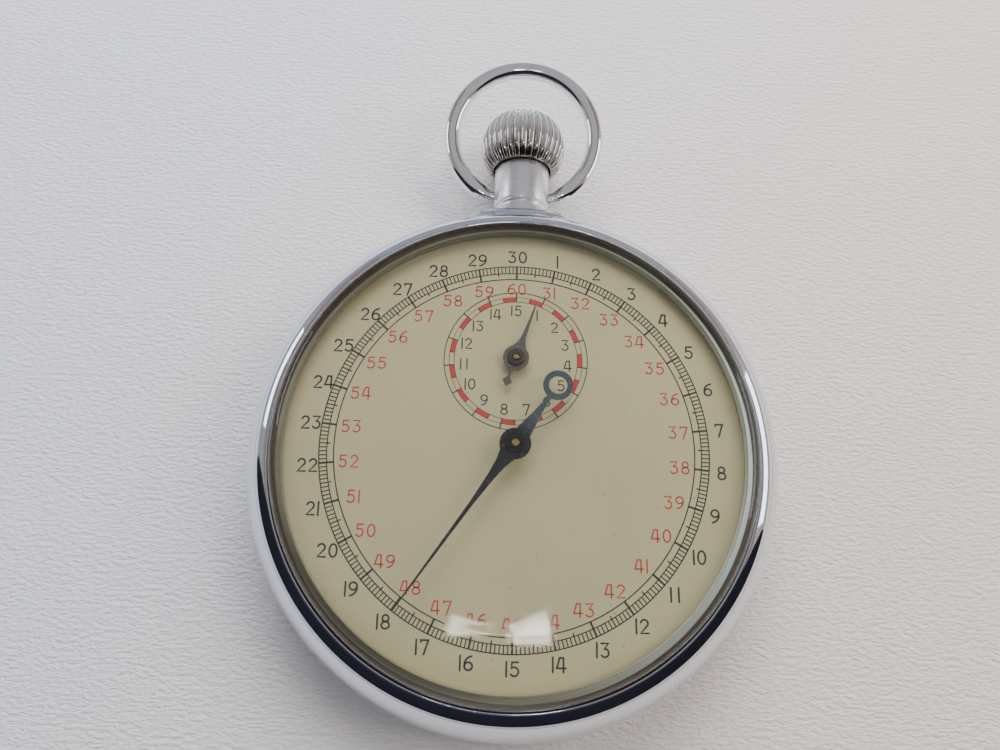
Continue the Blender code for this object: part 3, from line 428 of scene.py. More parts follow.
@dataclass(frozen=True)
class BluedSteel(Finish):
    """Dark blued steel of a hand, worn to specks, and paler towards its tail."""

    tone: Tone
    tail: Tone
    worn: Tone
    reading: float
    fade: Point
    wear: float = 0.6

    def mix(self, bench: NodeBench) -> None:
        """Oxide with pale specks and rubbed patches, its colour changing along the hand.

        Args:
            bench: The material to mix.
        """
        specks = bench.span(bench.cells(5.5), 0.16, 0.05)
        rubbed = bench.span(bench.noise(2.4, 6.0, roughness=0.75), 0.55, 0.7)
        share = bench.sum("MULTIPLY", bench.sum("MAXIMUM", specks, rubbed), self.wear)
        angle = DIAL_TURN + pi / 2 - radians(self.reading)
        x, y, _ = bench.axes()
        along = bench.sum("ADD", bench.sum("MULTIPLY", x, cos(angle)), bench.sum("MULTIPLY", y, sin(angle)))
        ground = bench.blend(bench.span(along, *self.fade), self.tone, self.tail)
        bench.set("Base Color", bench.blend(share, ground, self.worn))
        bench.set("Metallic", 0.45)
        bench.set("Roughness", bench.span(rubbed, 0.0, 1.0, 0.30, 0.55))
        bench.set("Normal", bench.bump(bench.noise(6.0, 4.0), 0.01, 0.5))


@dataclass(frozen=True)
class DialLacquer(Finish):
    """Silvered dial under old lacquer that has yellowed."""

    tone: Tone = Tone(0.375, 0.330, 0.186)
    warm: Tone = Tone(0.365, 0.312, 0.180)
    deep: Tone = Tone(0.310, 0.272, 0.150)
    soil: Tone = Tone(0.20, 0.17, 0.12)
    edge_radius: float = 21.0
    rim_width: float = 1.2

    def mix(self, bench: NodeBench) -> None:
        """Cloudy cream, warmer to the upper left, with specks, rubbed spots and painted shade towards its
        edge.

        Args:
            bench: The material to mix.
        """
        x, y, _ = bench.axes()
        base = bench.blend(bench.span(bench.sum("SUBTRACT", y, x), -24.0, 26.0), self.tone, self.warm)
        cloud = bench.span(bench.noise(0.09, 5.0, roughness=0.6), 0.36, 0.68)
        grain = bench.span(bench.noise(3.2, 4.0, roughness=0.7), 0.3, 0.75, 0.0, 0.25)
        ground = bench.blend(bench.sum("ADD", bench.sum("MULTIPLY", cloud, 0.5), grain), base, self.deep)
        thin = bench.span(bench.noise(0.45, 2.0), 0.38, 0.56)
        specks = bench.sum("MULTIPLY", bench.span(bench.cells(0.62), 0.085, 0.03), thin)
        dust = bench.span(bench.cells(2.3), 0.10, 0.03, 0.0, 0.45)
        smears = bench.noise(1.0, 3.0, bench.stretched((1.5, 0.55, 1.0)), 0.7)
        rubbed = bench.sum("MULTIPLY", bench.span(smears, 0.655, 0.74, 0.0, 0.4), thin)
        marks = bench.sum("MAXIMUM", specks, bench.sum("MULTIPLY", dust, thin))
        soiled = bench.blend(bench.sum("MAXIMUM", marks, rubbed), ground, self.soil)
        inner = self.edge_radius - self.rim_width
        # Painted shade: the dial darkens towards its edge, under the crystal's edge.
        painted_rim_shade = bench.span(bench.away_squared(x, y), inner ** 2, self.edge_radius ** 2, 0.0, 0.15)
        bench.set("Base Color", bench.blend(painted_rim_shade, soiled, self.deep.scaled(0.62)))
        bench.set("Metallic", 0.1)
        bench.set("Roughness", bench.span(cloud, 0.0, 1.0, 0.42, 0.55))
        bench.set("Normal", bench.bump(bench.noise(9.0, 3.0), 0.003, 0.5))


@dataclass(frozen=True)
class DialInk(Finish):
    """Printing ink, thin in places."""

    tone: Tone
    faded: Tone

    def mix(self, bench: NodeBench) -> None:
        """Ink that lets the dial through where it is thin.

        Args:
            bench: The material to mix.
        """
        thin = bench.span(bench.noise(4.5, 4.0, roughness=0.7), 0.42, 0.74, 0.0, 0.75)
        bench.set("Base Color", bench.blend(thin, self.tone, self.faded))
        bench.set("Roughness", bench.span(thin, 0.0, 0.75, 0.42, 0.6))
        bench.set("Specular IOR Level", 0.35)
        bench.set("Normal", bench.bump(bench.noise(14.0, 2.0), 0.002, 0.5))


@dataclass(frozen=True)
class ClearAcrylic(Finish):
    """Clear dome that lets the dial through and mirrors the room at a slant."""

    tone: Tone = Tone(0.985, 0.995, 0.985)
    least_mirror: float = 0.04

    def mix(self, bench: NodeBench) -> None:
        """A thin clear shell: a mirror that grows with the slant, alike from either side, over clear.

        Args:
            bench: The material to mix.
        """
        hairs = bench.scratches(2.6, (25.0, 63.0, 140.0))
        relief = bench.bump(hairs, 0.002, 0.25)
        mirror = bench.add("ShaderNodeBsdfGlossy")
        bench.feed(mirror.inputs["Roughness"], bench.span(hairs, 0.0, 1.0, 0.055, 0.14))
        bench.feed(mirror.inputs["Normal"], relief)
        clear = bench.add("ShaderNodeBsdfTransparent")
        clear.inputs["Color"].default_value = self.tone.rgba()
        slant = bench.add("ShaderNodeLayerWeight")
        slant.inputs["Blend"].default_value = 0.5
        grazing = bench.sum("POWER", slant.outputs["Facing"], 5.0)
        shell = bench.add("ShaderNodeMixShader")
        bench.feed(shell.inputs[0], bench.span(grazing, 0.0, 1.0, self.least_mirror, 1.0))
        bench.feed(shell.inputs[1], clear.outputs[0])
        bench.feed(shell.inputs[2], mirror.outputs[0])
        bench.feed(bench.output.inputs["Surface"], shell.outputs[0])


@dataclass(frozen=True)
class CrystalEdge(Finish):
    """The dome's thick ground edge, grey-green, with a painted glow and painted light towards the right."""

    tone: Tone
    lit: Tone
    half_width: float = 20.0
    gathered: float = 0.04

    def mix(self, bench: NodeBench) -> None:
        """Cloudy, with bright and dark runs along the edge, and painted light that makes it paler towards the
        right.

        Args:
            bench: The material to mix.
        """
        runs = bench.noise(1.0, 4.0, bench.around(2.2, 3.0), 0.6)
        shade = bench.span(runs, 0.38, 0.68)
        # Painted light: the edge turns from its own tone to the pale lit tone towards the right.
        side = bench.span(bench.axes()[0], 0.2 * self.half_width, self.half_width)
        darker = bench.blend(side, self.tone.scaled(0.6), self.lit.scaled(0.72))
        bench.set("Base Color", bench.blend(shade, bench.blend(side, self.tone, self.lit), darker))
        bench.set("Roughness", bench.span(runs, 0.3, 0.7, 0.15, 0.35))
        bench.set("IOR", 1.49)
        # Painted glow: a faint emission in the edge's own tone, though the edge is no lamp.
        bench.set("Emission Color", self.tone.rgba())
        bench.set("Emission Strength", self.gathered)
        bench.set("Normal", bench.bump(runs, 0.02, 0.4))


@dataclass(frozen=True)
class LaidPaper(Finish):
    """Heavy white paper with a soft ribbed tooth."""

    cool: Tone = Tone(0.61, 0.625, 0.670)
    warm: Tone = Tone(0.655, 0.57, 0.52)
    half_width: float = 45.0

    def mix(self, bench: NodeBench) -> None:
        """Painted light: a cool tint on the left and a warm tint to the lower right, with a fine tooth that
        runs across.

        Args:
            bench: The material to mix.
        """
        x, y, _ = bench.axes()
        # Painted light: the white paper's tint runs from the cool light on the left to the warm light on the
        # lower right.
        lean = bench.sum("SUBTRACT", x, bench.sum("MULTIPLY", y, 0.35))
        side = bench.span(lean, -self.half_width, self.half_width)
        blotch = bench.span(bench.noise(0.03, 4.0), 0.3, 0.7, -0.12, 0.12)
        ground = bench.blend(bench.sum("ADD", side, blotch), self.cool, self.warm)
        rib = bench.noise(1.0, 3.0, bench.stretched((1.3, 2.7, 1.0)), 0.55)
        fleck = bench.span(bench.noise(2.6, 2.0), 0.55, 0.8, 0.0, 0.12)
        bench.set("Base Color", bench.blend(fleck, ground, self.cool.scaled(0.8)))
        bench.set("Roughness", 0.85)
        bench.set("Specular IOR Level", 0.25)
        low = bench.bump(rib, 0.42, 0.7)
        bench.set("Normal", bench.bump(bench.noise(4.0, 3.0), 0.06, 0.5, low))


@dataclass(frozen=True)
class Card(Finish):
    """A plain card that stands in the room to be mirrored."""

    tone: Tone
    glow: float = 0.0

    def mix(self, bench: NodeBench) -> None:
        """Even and matt, and lit from within if it stands for a window.

        Args:
            bench: The material to mix.
        """
        mottled = bench.span(bench.noise(0.01, 3.0), 0.3, 0.7, 0.0, 0.5)
        bench.set("Base Color", bench.blend(mottled, self.tone, self.tone.scaled(0.85)))
        bench.set("Roughness", 0.9)
        bench.set("Emission Color", self.tone.rgba())
        bench.set("Emission Strength", self.glow)


CHROME = PolishedPlate("polished_chrome")
# The crown's brown towards its mouth is partly grime and partly painted dark reflection.
CROWN_CHROME = HandledPlate("crown_chrome", Tone(0.93, 0.925, 0.91), 0.07, 1.4)
BOW_CHROME = PolishedPlate("bow_chrome", Tone(0.88, 0.88, 0.89), 0.06, 1.4)
SATIN = TurnedMetal("satin_plate", Tone(0.95, 0.955, 0.965), 0.34, 0.003, 0.12)
BRASS = TurnedMetal("turned_brass", Tone(0.62, 0.45, 0.18), 0.28)
PIN_BRASS = TurnedMetal("pin_brass", Tone(0.80, 0.66, 0.34), 0.16, 0.002, 0.2)
WHEEL_STEEL = TurnedMetal("ground_steel", Tone(0.50, 0.51, 0.53), 0.24)
SPRING = TurnedMetal("spring_steel", Tone(0.20, 0.24, 0.33), 0.28, 0.002, 0.3)
GILT = GiltFrosted("frosted_gilt")
HAND_STEEL = BluedSteel("hand_steel", Tone(0.008, 0.008, 0.010), Tone(0.048, 0.066, 0.075),
                        Tone(0.14, 0.13, 0.11), 215.2, (-1.2, -3.0))
SMALL_HAND_STEEL = BluedSteel("small_hand_steel", Tone(0.070, 0.076, 0.070), Tone(0.082, 0.070, 0.058),
                              Tone(0.24, 0.22, 0.18), 19.2, (9.6, 8.6), 0.7)
HUB_STEEL = TurnedMetal("hub_steel", Tone(0.030, 0.026, 0.022), 0.35, 0.006, 0.4)
SMALL_HUB_STEEL = TurnedMetal("small_hub_steel", Tone(0.13, 0.11, 0.085), 0.40, 0.006, 0.4)
LACQUER = DialLacquer("dial_lacquer")
BLACK_INK = DialInk("black_ink", Tone(0.014, 0.014, 0.012), Tone(0.055, 0.05, 0.04))
RED_INK = DialInk("red_ink", Tone(0.30, 0.018, 0.016), Tone(0.32, 0.062, 0.048))
ACRYLIC = ClearAcrylic("clear_acrylic")
EDGE = CrystalEdge("crystal_edge", Tone(0.195, 0.19, 0.130), Tone(0.60, 0.66, 0.62))
# Painted reflection and shade: the crystal's foot is dark brown for the bronze seat seen in it and the
# shadowed gap.
SEAT_REFLECTION_FOOT = CrystalEdge("crystal_foot_seat_reflection", Tone(0.085, 0.065, 0.045), Tone(0.10, 0.09, 0.075))
PAPER = LaidPaper("laid_paper")
DARK_CARD = Card("dark_card", Tone(0.006, 0.006, 0.012))
WALL_CARD = Card("wall_card", Tone(0.36, 0.30, 0.27))
WINDOW_CARD = Card("window_card", Tone(0.90, 0.95, 1.0), 3.0)
GLARE_CARD = Card("glare_card", Tone(1.0, 1.0, 0.90), 22.0)


# ------------------------------------------------------------------ mesh work
class Bench:
    """Mesh making shared by the sub-assemblies. All lengths are in millimetres."""

    @staticmethod
    def mesh(name: str, points: Sequence[Sequence[float]], faces: Sequence[Sequence[int]], finish: Finish,
             crease: float = 32.0) -> bpy.types.Object:
        """A piece from points and faces, shaded smooth but for creases.

        Args:
            name: The piece's name.
            points: Corners in millimetres.
            faces: Corner numbers of each face.
            finish: What it is dressed in.
            crease: Least angle of an edge that stays sharp, in degrees.

        Returns:
            The piece.
        """
        data = bpy.data.meshes.new(name)
        data.from_pydata([tuple(c * MM for c in point) for point in points], [], faces)
        work = bmesh.new()
        work.from_mesh(data)
        bmesh.ops.recalc_face_normals(work, faces=work.faces)
        work.to_mesh(data)
        work.free()
        data.shade_smooth()
        data.set_sharp_from_angle(angle=radians(crease))
        data.materials.append(finish.material())
        piece = bpy.data.objects.new(name, data)
        bpy.context.scene.collection.objects.link(piece)
        return piece

    @staticmethod
    def revolve(name: str, profile: Outline, finish: Finish, segments: int = 256, capped: bool = False,
                crease: float = 32.0) -> bpy.types.Object:
        """A body turned about Z.

        Args:
            name: The piece's name.
            profile: (radius, height) points: a closed loop, or the outside of a solid body if capped.
            finish: What it is dressed in.
            segments: Steps round the axis.
            capped: Whether the profile's two ends are closed by discs.
            crease: Least angle of an edge that stays sharp, in degrees.

        Returns:
            The piece.
        """
        count = len(profile)
        points = []
        faces: list[tuple[int, ...]] = []
        for k in range(segments):
            angle = FULL_TURN * k / segments
            points += [(r * cos(angle), r * sin(angle), z) for r, z in profile]
            following = (k + 1) % segments
            for i in range(count - 1 if capped else count):
                j = (i + 1) % count
                faces.append((k * count + i, k * count + j, following * count + j, following * count + i))
        if capped:
            faces.append(tuple(k * count for k in range(segments)))
            faces.append(tuple(k * count + count - 1 for k in range(segments)))
        return Bench.mesh(name, points, faces, finish, crease)

    @staticmethod
    def rings(name: str, rings: Sequence[Sequence[Sequence[float]]], finish: Finish,
              crease: float = 32.0) -> bpy.types.Object:
        """A body from rings of equally many points, capped at both ends.

        Args:
            name: The piece's name.
            rings: The rings in order.
            finish: What it is dressed in.
            crease: Least angle of an edge that stays sharp, in degrees.

        Returns:
            The piece.
        """
        count = len(rings[0])
        total = len(rings)
        points = [point for ring in rings for point in ring]
        faces: list[tuple[int, ...]] = [tuple(range(count)), tuple(range((total - 1) * count, total * count))]
        for level in range(total - 1):
            low = level * count
            high = low + count
            for i in range(count):
                j = (i + 1) % count
                faces.append((low + i, low + j, high + j, high + i))
        return Bench.mesh(name, points, faces, finish, crease)

    @staticmethod
    def plate(name: str, outline: Outline, holes: Sequence[Outline], low: float, high: float, finish: Finish,
              ease: float = 0.0) -> bpy.types.Object:
        """A flat piece with holes, its edges eased by a bevel.

        Args:
            name: The piece's name.
            outline: Its edge.
            holes: The edges of its holes.
            low: Height of its underside.
            high: Height of its top.
            finish: What it is dressed in.
            ease: Width of the bevel.

        Returns:
            The piece.
        """
        loops = [outline, *holes]
        flat = [point for loop in loops for point in loop]
        triangles = tessellate_polygon([[Vector((x, y, 0.0)) for x, y in loop] for loop in loops])
        count = len(flat)
        points = [(x, y, low) for x, y in flat] + [(x, y, high) for x, y in flat]
        faces = [tuple(face) for face in triangles]
        faces += [tuple(i + count for i in face) for face in triangles]
        start = 0
        for loop in loops:
            size = len(loop)
            for i in range(size):
                a = start + i
                b = start + (i + 1) % size
                faces.append((a, b, b + count, a + count))
            start += size
        piece = Bench.mesh(name, points, faces, finish)
        if ease:
            Bench.ease_edges(piece, ease)
        return piece

    @staticmethod
    def ease_edges(piece: bpy.types.Object, width: float, segments: int = 2) -> None:
        """Round the sharp edges of a piece.

        Args:
            piece: The piece.
            width: Width of the bevel, in millimetres.
            segments: Steps across it.
        """
        bevel = piece.modifiers.new("eased_edges", "BEVEL")
        bevel.width = width * MM
        bevel.segments = segments
        bevel.limit_method = "ANGLE"
        bevel.angle_limit = radians(35)

    @staticmethod
    def join(piece: bpy.types.Object, other: bpy.types.Object, operation: str) -> None:
        """Carry out a Boolean with another piece and put the result in the piece's own mesh.

        Args:
            piece: The piece that stays.
            other: The piece that is used up.
            operation: UNION or DIFFERENCE.
        """
        modifier = piece.modifiers.new("joint", "BOOLEAN")
        modifier.operation = operation
        modifier.solver = "EXACT"
        modifier.object = other
        graph = bpy.context.evaluated_depsgraph_get()
        made = bpy.data.meshes.new_from_object(piece.evaluated_get(graph))
        piece.modifiers.clear()
        piece.data = made
        made.shade_smooth()
        made.set_sharp_from_angle(angle=radians(32))
        bpy.data.objects.remove(other)

    @staticmethod
    def circle(radius: float, count: int, centre: Point = (0.0, 0.0)) -> Outline:
        """A circle as an outline."""
        return [Bench.polar(radius, FULL_TURN * i / count, centre) for i in range(count)]

    @staticmethod
    def polar(radius: float, angle: float, centre: Point = (0.0, 0.0)) -> Point:
        """The point at a radius and an angle from +X, in radians."""
        return (centre[0] + radius * cos(angle), centre[1] + radius * sin(angle))

    @staticmethod
    def lie_along_stem(piece: bpy.types.Object, stem_z: float) -> None:
        """Lay a piece made about Z onto the stem's axis, its +Z towards the crown.

        The turn goes into the object, so that turned marks still run round the piece's own axis.
        """
        piece.rotation_euler = Euler((-pi / 2, 0.0, 0.0))
        piece.location = (0.0, 0.0, stem_z * MM)


def settle(piece: bpy.types.Object, body: str, slot: str, *replaced: str) -> bpy.types.Object:
    """Hand a finished piece to the frame.

    Args:
        piece: The piece, in place.
        body: The body that it moves with.
        slot: The record's material slot; not used.
        *replaced: The CAD nodes that it stands for.

    Returns:
        The same piece.
    """
    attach(piece, body)
    if replaced:
        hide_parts(*replaced)
    LOG.info("%s rides on %s", piece.name, body)
    return piece


def middle_of(node: str) -> Vector:
    """Centre of a CAD node's box, in millimetres."""
    low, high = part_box(node)
    return (low + high) / 2 / MM


def top_of(node: str, axis: int = 2) -> float:
    """Highest coordinate of a CAD node along an axis, in millimetres."""
    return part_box(node)[1][axis] / MM


STEM_Z = middle_of("stem").z
DIAL_TOP = top_of("dial")


# ------------------------------------------------------------------ case
@dataclass
class Case:
    """The polished shell: bezel, middle with its boss, and back."""

    radius: float = 26.0
    equator: float = 4.17
    belly: float = 5.3
    seam_high: float = 5.3
    seam_low: float = 3.1
    seam_gap: float = 0.1
    bezel_top: float = 10.4
    shoulder_start: float = 22.65
    shoulder_radius: float = 2.6
    line_depth: float = 0.03
    boss_half: Point = (6.4, 3.5)
    boss_shoulder: float = 24.9
    boss_dome: float = 1.55
    past_case: float = 28.0
    flat: float = 20.5

    def belly_radius(self, z: float) -> float:
        """Outer radius of the case at a height near its equator."""
        return self.radius - self.belly + sqrt(self.belly ** 2 - (z - self.equator) ** 2)

    def belly_arc(self, start: float, end: float, steps: int) -> Outline:
        """Points down the outside between two heights."""
        return [(self.belly_radius(start + (end - start) * i / steps), start + (end - start) * i / steps)
                for i in range(steps + 1)]

    def shoulder(self) -> Outline:
        """The bezel's rolled shoulder from its lip outward, with two fine turned lines in it.

        Returns:
            Its points, from the lip.
        """
        first, last = 15.0, 48.0
        lines = (16.8, 46.5)
        centre = (self.shoulder_start - self.shoulder_radius * sin(radians(first)),
                  self.bezel_top - self.shoulder_radius * cos(radians(first)))
        points = []
        steps = 66
        for i in range(steps + 1):
            slope = first + (last - first) * i / steps
            depth = self.line_depth if any(abs(slope - line) < 0.6 for line in lines) else 0.0
            reach = self.shoulder_radius - depth
            points.append((centre[0] + reach * sin(radians(slope)), centre[1] + reach * cos(radians(slope))))
        return points

    def boss(self, margin: float, start: float, domed: bool) -> bpy.types.Object:
        """The lens-shaped boss, or the notch for it.

        Args:
            margin: How much larger than the boss it is.
            start: Distance from the centre at which it starts.
            domed: Whether its end is rounded, as the boss is, or runs out past the case, as the notch does.

        Returns:
            The shape, lying along the stem.
        """
        steps = 96
        ends = [(start, 1.0), (self.boss_shoulder, 1.0)]
        if domed:
            ends += [(self.boss_shoulder + self.boss_dome * sin(radians(a)), cos(radians(a)))
                     for a in range(6, 84, 6)]
        else:
            ends += [(self.past_case, 1.0)]
        wide, high = self.boss_half
        circle = Bench.circle(1.0, steps)
        rings = [[((wide * s + margin) * x, (high * s + margin) * y, d) for x, y in circle] for d, s in ends]
        shape = Bench.rings("boss_shape", rings, CHROME)
        Bench.lie_along_stem(shape, STEM_Z)
        return shape

    def bore(self, radius: float, start: float, end: float) -> bpy.types.Object:
        """A round cutter along the stem.

        Args:
            radius: Its radius.
            start: Distance from the centre at which it starts.
            end: Distance at which it ends.

        Returns:
            The cutter, lying along the stem.
        """
        shape = Bench.revolve("bore_shape", [(radius, start), (radius, end)], CHROME, 64, True)
        Bench.lie_along_stem(shape, STEM_Z)
        return shape

    def build(self) -> None:
        """Make the three shells."""
        self.build_bezel()
        self.build_middle()
        self.build_back()

    def build_bezel(self) -> None:
        """The front ring."""
        flank = [(24.3, 9.11), (24.68, 8.53), (25.0, 7.96), (25.25, 7.43), (25.45, 6.93), (25.62, 6.42),
                 (25.75, 5.95), (25.84, 5.55)]
        lip = [(22.5, 9.75), (22.5, 10.26), (22.53, 10.34), (22.6, 10.39)]
        profile = lip + self.shoulder() + flank
        profile += [(self.belly_radius(self.seam_high) - 0.02, self.seam_high), (24.75, self.seam_high),
                    (24.75, 6.2), (23.3, 8.6), (21.8, 8.6), (21.8, 9.72)]
        piece = Bench.revolve("bezel_ring", profile, CHROME, crease=24.0)
        Bench.join(piece, self.boss(0.15, 20.0, False), "DIFFERENCE")
        settle(piece, "case", "chrome", "bezel")

    def build_middle(self) -> None:
        """The middle band with the boss."""
        top = self.seam_high - self.seam_gap
        low = self.seam_low + self.seam_gap
        profile = self.belly_arc(top, low, 14)
        profile += [(24.0, low), (24.0, 4.3), (21.75, 4.3), (21.75, 5.6), (20.75, 5.6), (20.75, 6.6),
                    (21.75, 6.6), (21.75, 8.3), (23.1, 8.3), (24.5, 6.1), (24.5, top)]
        piece = Bench.revolve("case_band", profile, CHROME)
        Bench.join(piece, self.boss(0.0, 22.0, True), "UNION")
        Bench.join(piece, self.bore(3.2, 23.5, 30.0), "DIFFERENCE")
        Bench.join(piece, self.bore(0.95, 19.0, 25.0), "DIFFERENCE")
        Bench.ease_edges(piece, 0.03)
        settle(piece, "case", "chrome", "case_middle")

    def build_back(self) -> None:
        """The dished back, with a turned line round its flat and the lip for opening it."""
        outer = [(self.flat + (self.radius - self.flat) * cos(radians(a)),
                  self.equator - self.equator * sin(radians(a))) for a in range(88, 18, -5)]
        profile = [(0.5, 0.06), (17.6, 0.06), (17.7, 0.0), (self.flat, 0.0), *outer]
        profile += [(self.belly_radius(self.seam_low), self.seam_low), (23.85, self.seam_low), (23.85, 4.1),
                    (22.9, 4.1), (22.9, 2.4), (20.5, 0.72), (0.5, 0.72)]
        piece = Bench.revolve("back_cover", profile, CHROME, capped=True)
        Bench.join(piece, self.boss(0.15, 20.0, False), "DIFFERENCE")
        settle(piece, "case", "chrome", "case_back")


@dataclass
class Crystal:
    """The domed glass and what shows under its edge, painted on its foot as a dark brown reflection of the
    seat.
    """

    radius: float = 22.3
    wall: float = 21.25
    top: float = 13.499
    thickness: float = 1.0
    foot: float = 9.9
    drop: float = 1.3
    split: float = 21.95
    roll_start: float = 20.7
    roll_end: float = 10.8

    def dome(self, radius: float, lowered: float, start: float, end: float, steps: int) -> Outline:
        """Points along the dome between two radii.

        Args:
            radius: The radius at which the dome has its whole drop.
            lowered: How far under the top it lies.
            start: Radius of the first point.
            end: Radius of the last point.
            steps: Steps between them.

        Returns:
            The points.
        """
        found = []
        for i in range(steps + 1):
            r = start + (end - start) * i / steps
            found.append((r, self.top - lowered - self.drop * (r / radius) ** 3))
        return found

    def build(self) -> None:
        """The dome, its grey-green edge, and its foot painted dark brown as the reflection of the seat
        beneath.
        """
        outer = self.dome(self.radius, 0.0, self.roll_start, 0.4, 40)
        crest = outer[0][1]
        reach = self.radius - self.roll_start
        shoulder = [(self.roll_start + reach * cos(radians(a)),
                     self.roll_end + (crest - self.roll_end) * sin(radians(a))) for a in range(0, 82, 9)]
        inner = self.dome(self.wall, self.thickness, 0.4, self.wall - 0.35, 36)
        profile = inner + [(self.wall - 0.1, 11.2), (self.wall, 10.95), (self.wall, self.foot + 0.02),
                           (self.split, self.foot + 0.02), (self.radius, self.foot + 0.02)] + shoulder + outer
        piece = Bench.revolve("dome", profile, ACRYLIC, capped=True)
        piece.data.materials.append(EDGE.material())
        piece.data.materials.append(SEAT_REFLECTION_FOOT.material())
        for face in piece.data.polygons:
            middle = face.center / MM
            away = hypot(middle.x, middle.y)
            # Faces of the edge beyond the split take the painted reflection of the seat.
            if away > self.wall - 0.12 and middle.z < self.roll_end:
                face.material_index = 1 if away < self.split else 2
        settle(piece, "case", "crystal", "crystal")


@dataclass
class Pendant:
    """The tube, the crown and the bow."""

    tube_radius: float = 2.95
    tube_top: float = 31.9
    tube_foot: float = 23.6
    collar_radius: float = 3.1
    collar_top: float = 26.7
    cove: float = 0.42
    bore: float = 1.35
    bow_pivot: float = 28.4
    bow_centre: float = 7.0
    bow_radius: float = 7.89
    bow_wire: float = 0.925
    bow_end: float = 0.6
    bow_tilt: float = radians(8.5)
    flutes: int = 34
    flute_depth: float = 0.098
    crown_mouth: float = 31.6
    crown_bulge: float = 34.5
    crown_top: float = 38.5
    crown_radius: float = 4.68
    crown_undercut: float = 4.0
    hollow_radius: float = 3.12
    hollow_top: float = 34.4

    def build(self) -> None:
        """Make the three pieces."""
        self.build_tube()
        self.build_crown()
        self.build_bow()

    def build_tube(self) -> None:
        """The tube with its foot collar and the groove over it."""
        r, c, top, edge = self.tube_radius, self.collar_radius, self.tube_top, self.collar_top
        cove = [(r + 0.05 - self.cove * sin(radians(a)), edge - self.cove * cos(radians(a)))
                for a in range(10, 180, 17)]
        profile = [(self.bore, self.tube_foot), (c, self.tube_foot), (c, edge - 0.62),
                   (c - 0.04, edge - 0.48), *cove, (r - 0.02, edge + 0.5), (r, edge + 0.6), (r, top - 0.25),
                   (r - 0.06, top - 0.09), (r - 0.2, top), (self.bore, top)]
        piece = Bench.revolve("pendant_tube", profile, SATIN, 128)
        Bench.lie_along_stem(piece, STEM_Z)
        hole = self.bow_end + 0.06
        cutter = Bench.revolve("bow_hole_shape", [(hole, -4.0), (hole, 4.0)], SATIN, 32, True)
        cutter.rotation_euler = Euler((0.0, pi / 2, 0.0))
        cutter.location = (0.0, self.bow_pivot * MM, STEM_Z * MM)
        Bench.join(piece, cutter, "DIFFERENCE")
        Bench.ease_edges(piece, 0.03)
        settle(piece, "case", "satin_chrome", "pendant")

    def crown_ring(self, radius: float, depth: float, y: float) -> list[tuple[float, float, float]]:
        """One ring of the crown: round lobes parted by narrow grooves.

        Args:
            radius: Radius over the lobes.
            depth: Depth of the grooves.
            y: Distance from the dial's centre.

        Returns:
            The ring's points, about Z.
        """
        steps = 10
        ring = []
        for i in range(self.flutes * steps):
            swell = abs(sin(pi * (i % steps) / steps)) ** 0.5
            r = radius - depth * (1.0 - swell)
            angle = FULL_TURN * i / (self.flutes * steps)
            ring.append((r * cos(angle), r * sin(angle), y))
        return ring

    def build_crown(self) -> None:
        """The fluted onion crown, hollow underneath."""
        hollow, deep, mouth = self.hollow_radius, self.hollow_top, self.crown_mouth
        rings = [self.crown_ring(r, 0.0, y) for r, y in (
            (0.9, deep), (hollow, deep), (hollow, mouth + 0.06), (hollow + 0.06, mouth))]
        rings.append(self.crown_ring(hollow + 0.30, 0.20, mouth + 0.01))
        rings.append(self.crown_ring(hollow + 0.44, 0.32, mouth + 0.06))
        for a in range(-44, 86, 5):
            half = self.crown_top - self.crown_bulge - 0.02 if a > 0 else self.crown_undercut
            radius = self.crown_radius * max(cos(radians(a)), 0.0) ** 0.8
            depth = self.flute_depth * radius * min(1.0, (86 - a) / 22)
            rings.append(self.crown_ring(radius, depth, self.crown_bulge + half * sin(radians(a))))
        rings.append(self.crown_ring(0.42, 0.0, self.crown_top - 0.01))
        piece = Bench.rings("crown_cap", rings, CROWN_CHROME, crease=50.0)
        Bench.lie_along_stem(piece, STEM_Z)
        settle(piece, "crown", "chrome", "crown")

    def build_bow(self) -> None:
        """The bow: a round wire bent to a ring, its ends drawn down and turned into the tube."""
        first = radians(-54)
        steps = 120
        bends = [(2.2, 0.0, self.bow_end), (3.0, 0.0, self.bow_end), (3.3, 0.02, 0.62), (3.6, 0.09, 0.68),
                 (3.95, 0.24, 0.76), (4.3, 0.42, 0.85)]
        path = list(bends)
        for i in range(steps + 1):
            angle = first + (pi - 2 * first) * i / steps
            x, y = Bench.polar(self.bow_radius, angle, (0.0, self.bow_centre))
            if i > 1 and i < steps - 1:
                path.append((x, y, self.bow_wire))
        path += [(-x, y, r) for x, y, r in bends[::-1]]
        turn = Euler((self.bow_tilt, 0.0, 0.0)).to_matrix()
        pivot = Vector((0.0, self.bow_pivot, STEM_Z))
        rings = []
        for i, (x, y, radius) in enumerate(path):
            before, after = path[max(i - 1, 0)], path[min(i + 1, len(path) - 1)]
            heading = atan2(after[1] - before[1], after[0] - before[0])
            rings.append([pivot + turn @ Vector((x - u * sin(heading), y + u * cos(heading), v))
                          for u, v in Bench.circle(radius, 28)])
        piece = Bench.rings("bow_ring", rings, BOW_CHROME)
        settle(piece, "bow", "chrome", "bow")


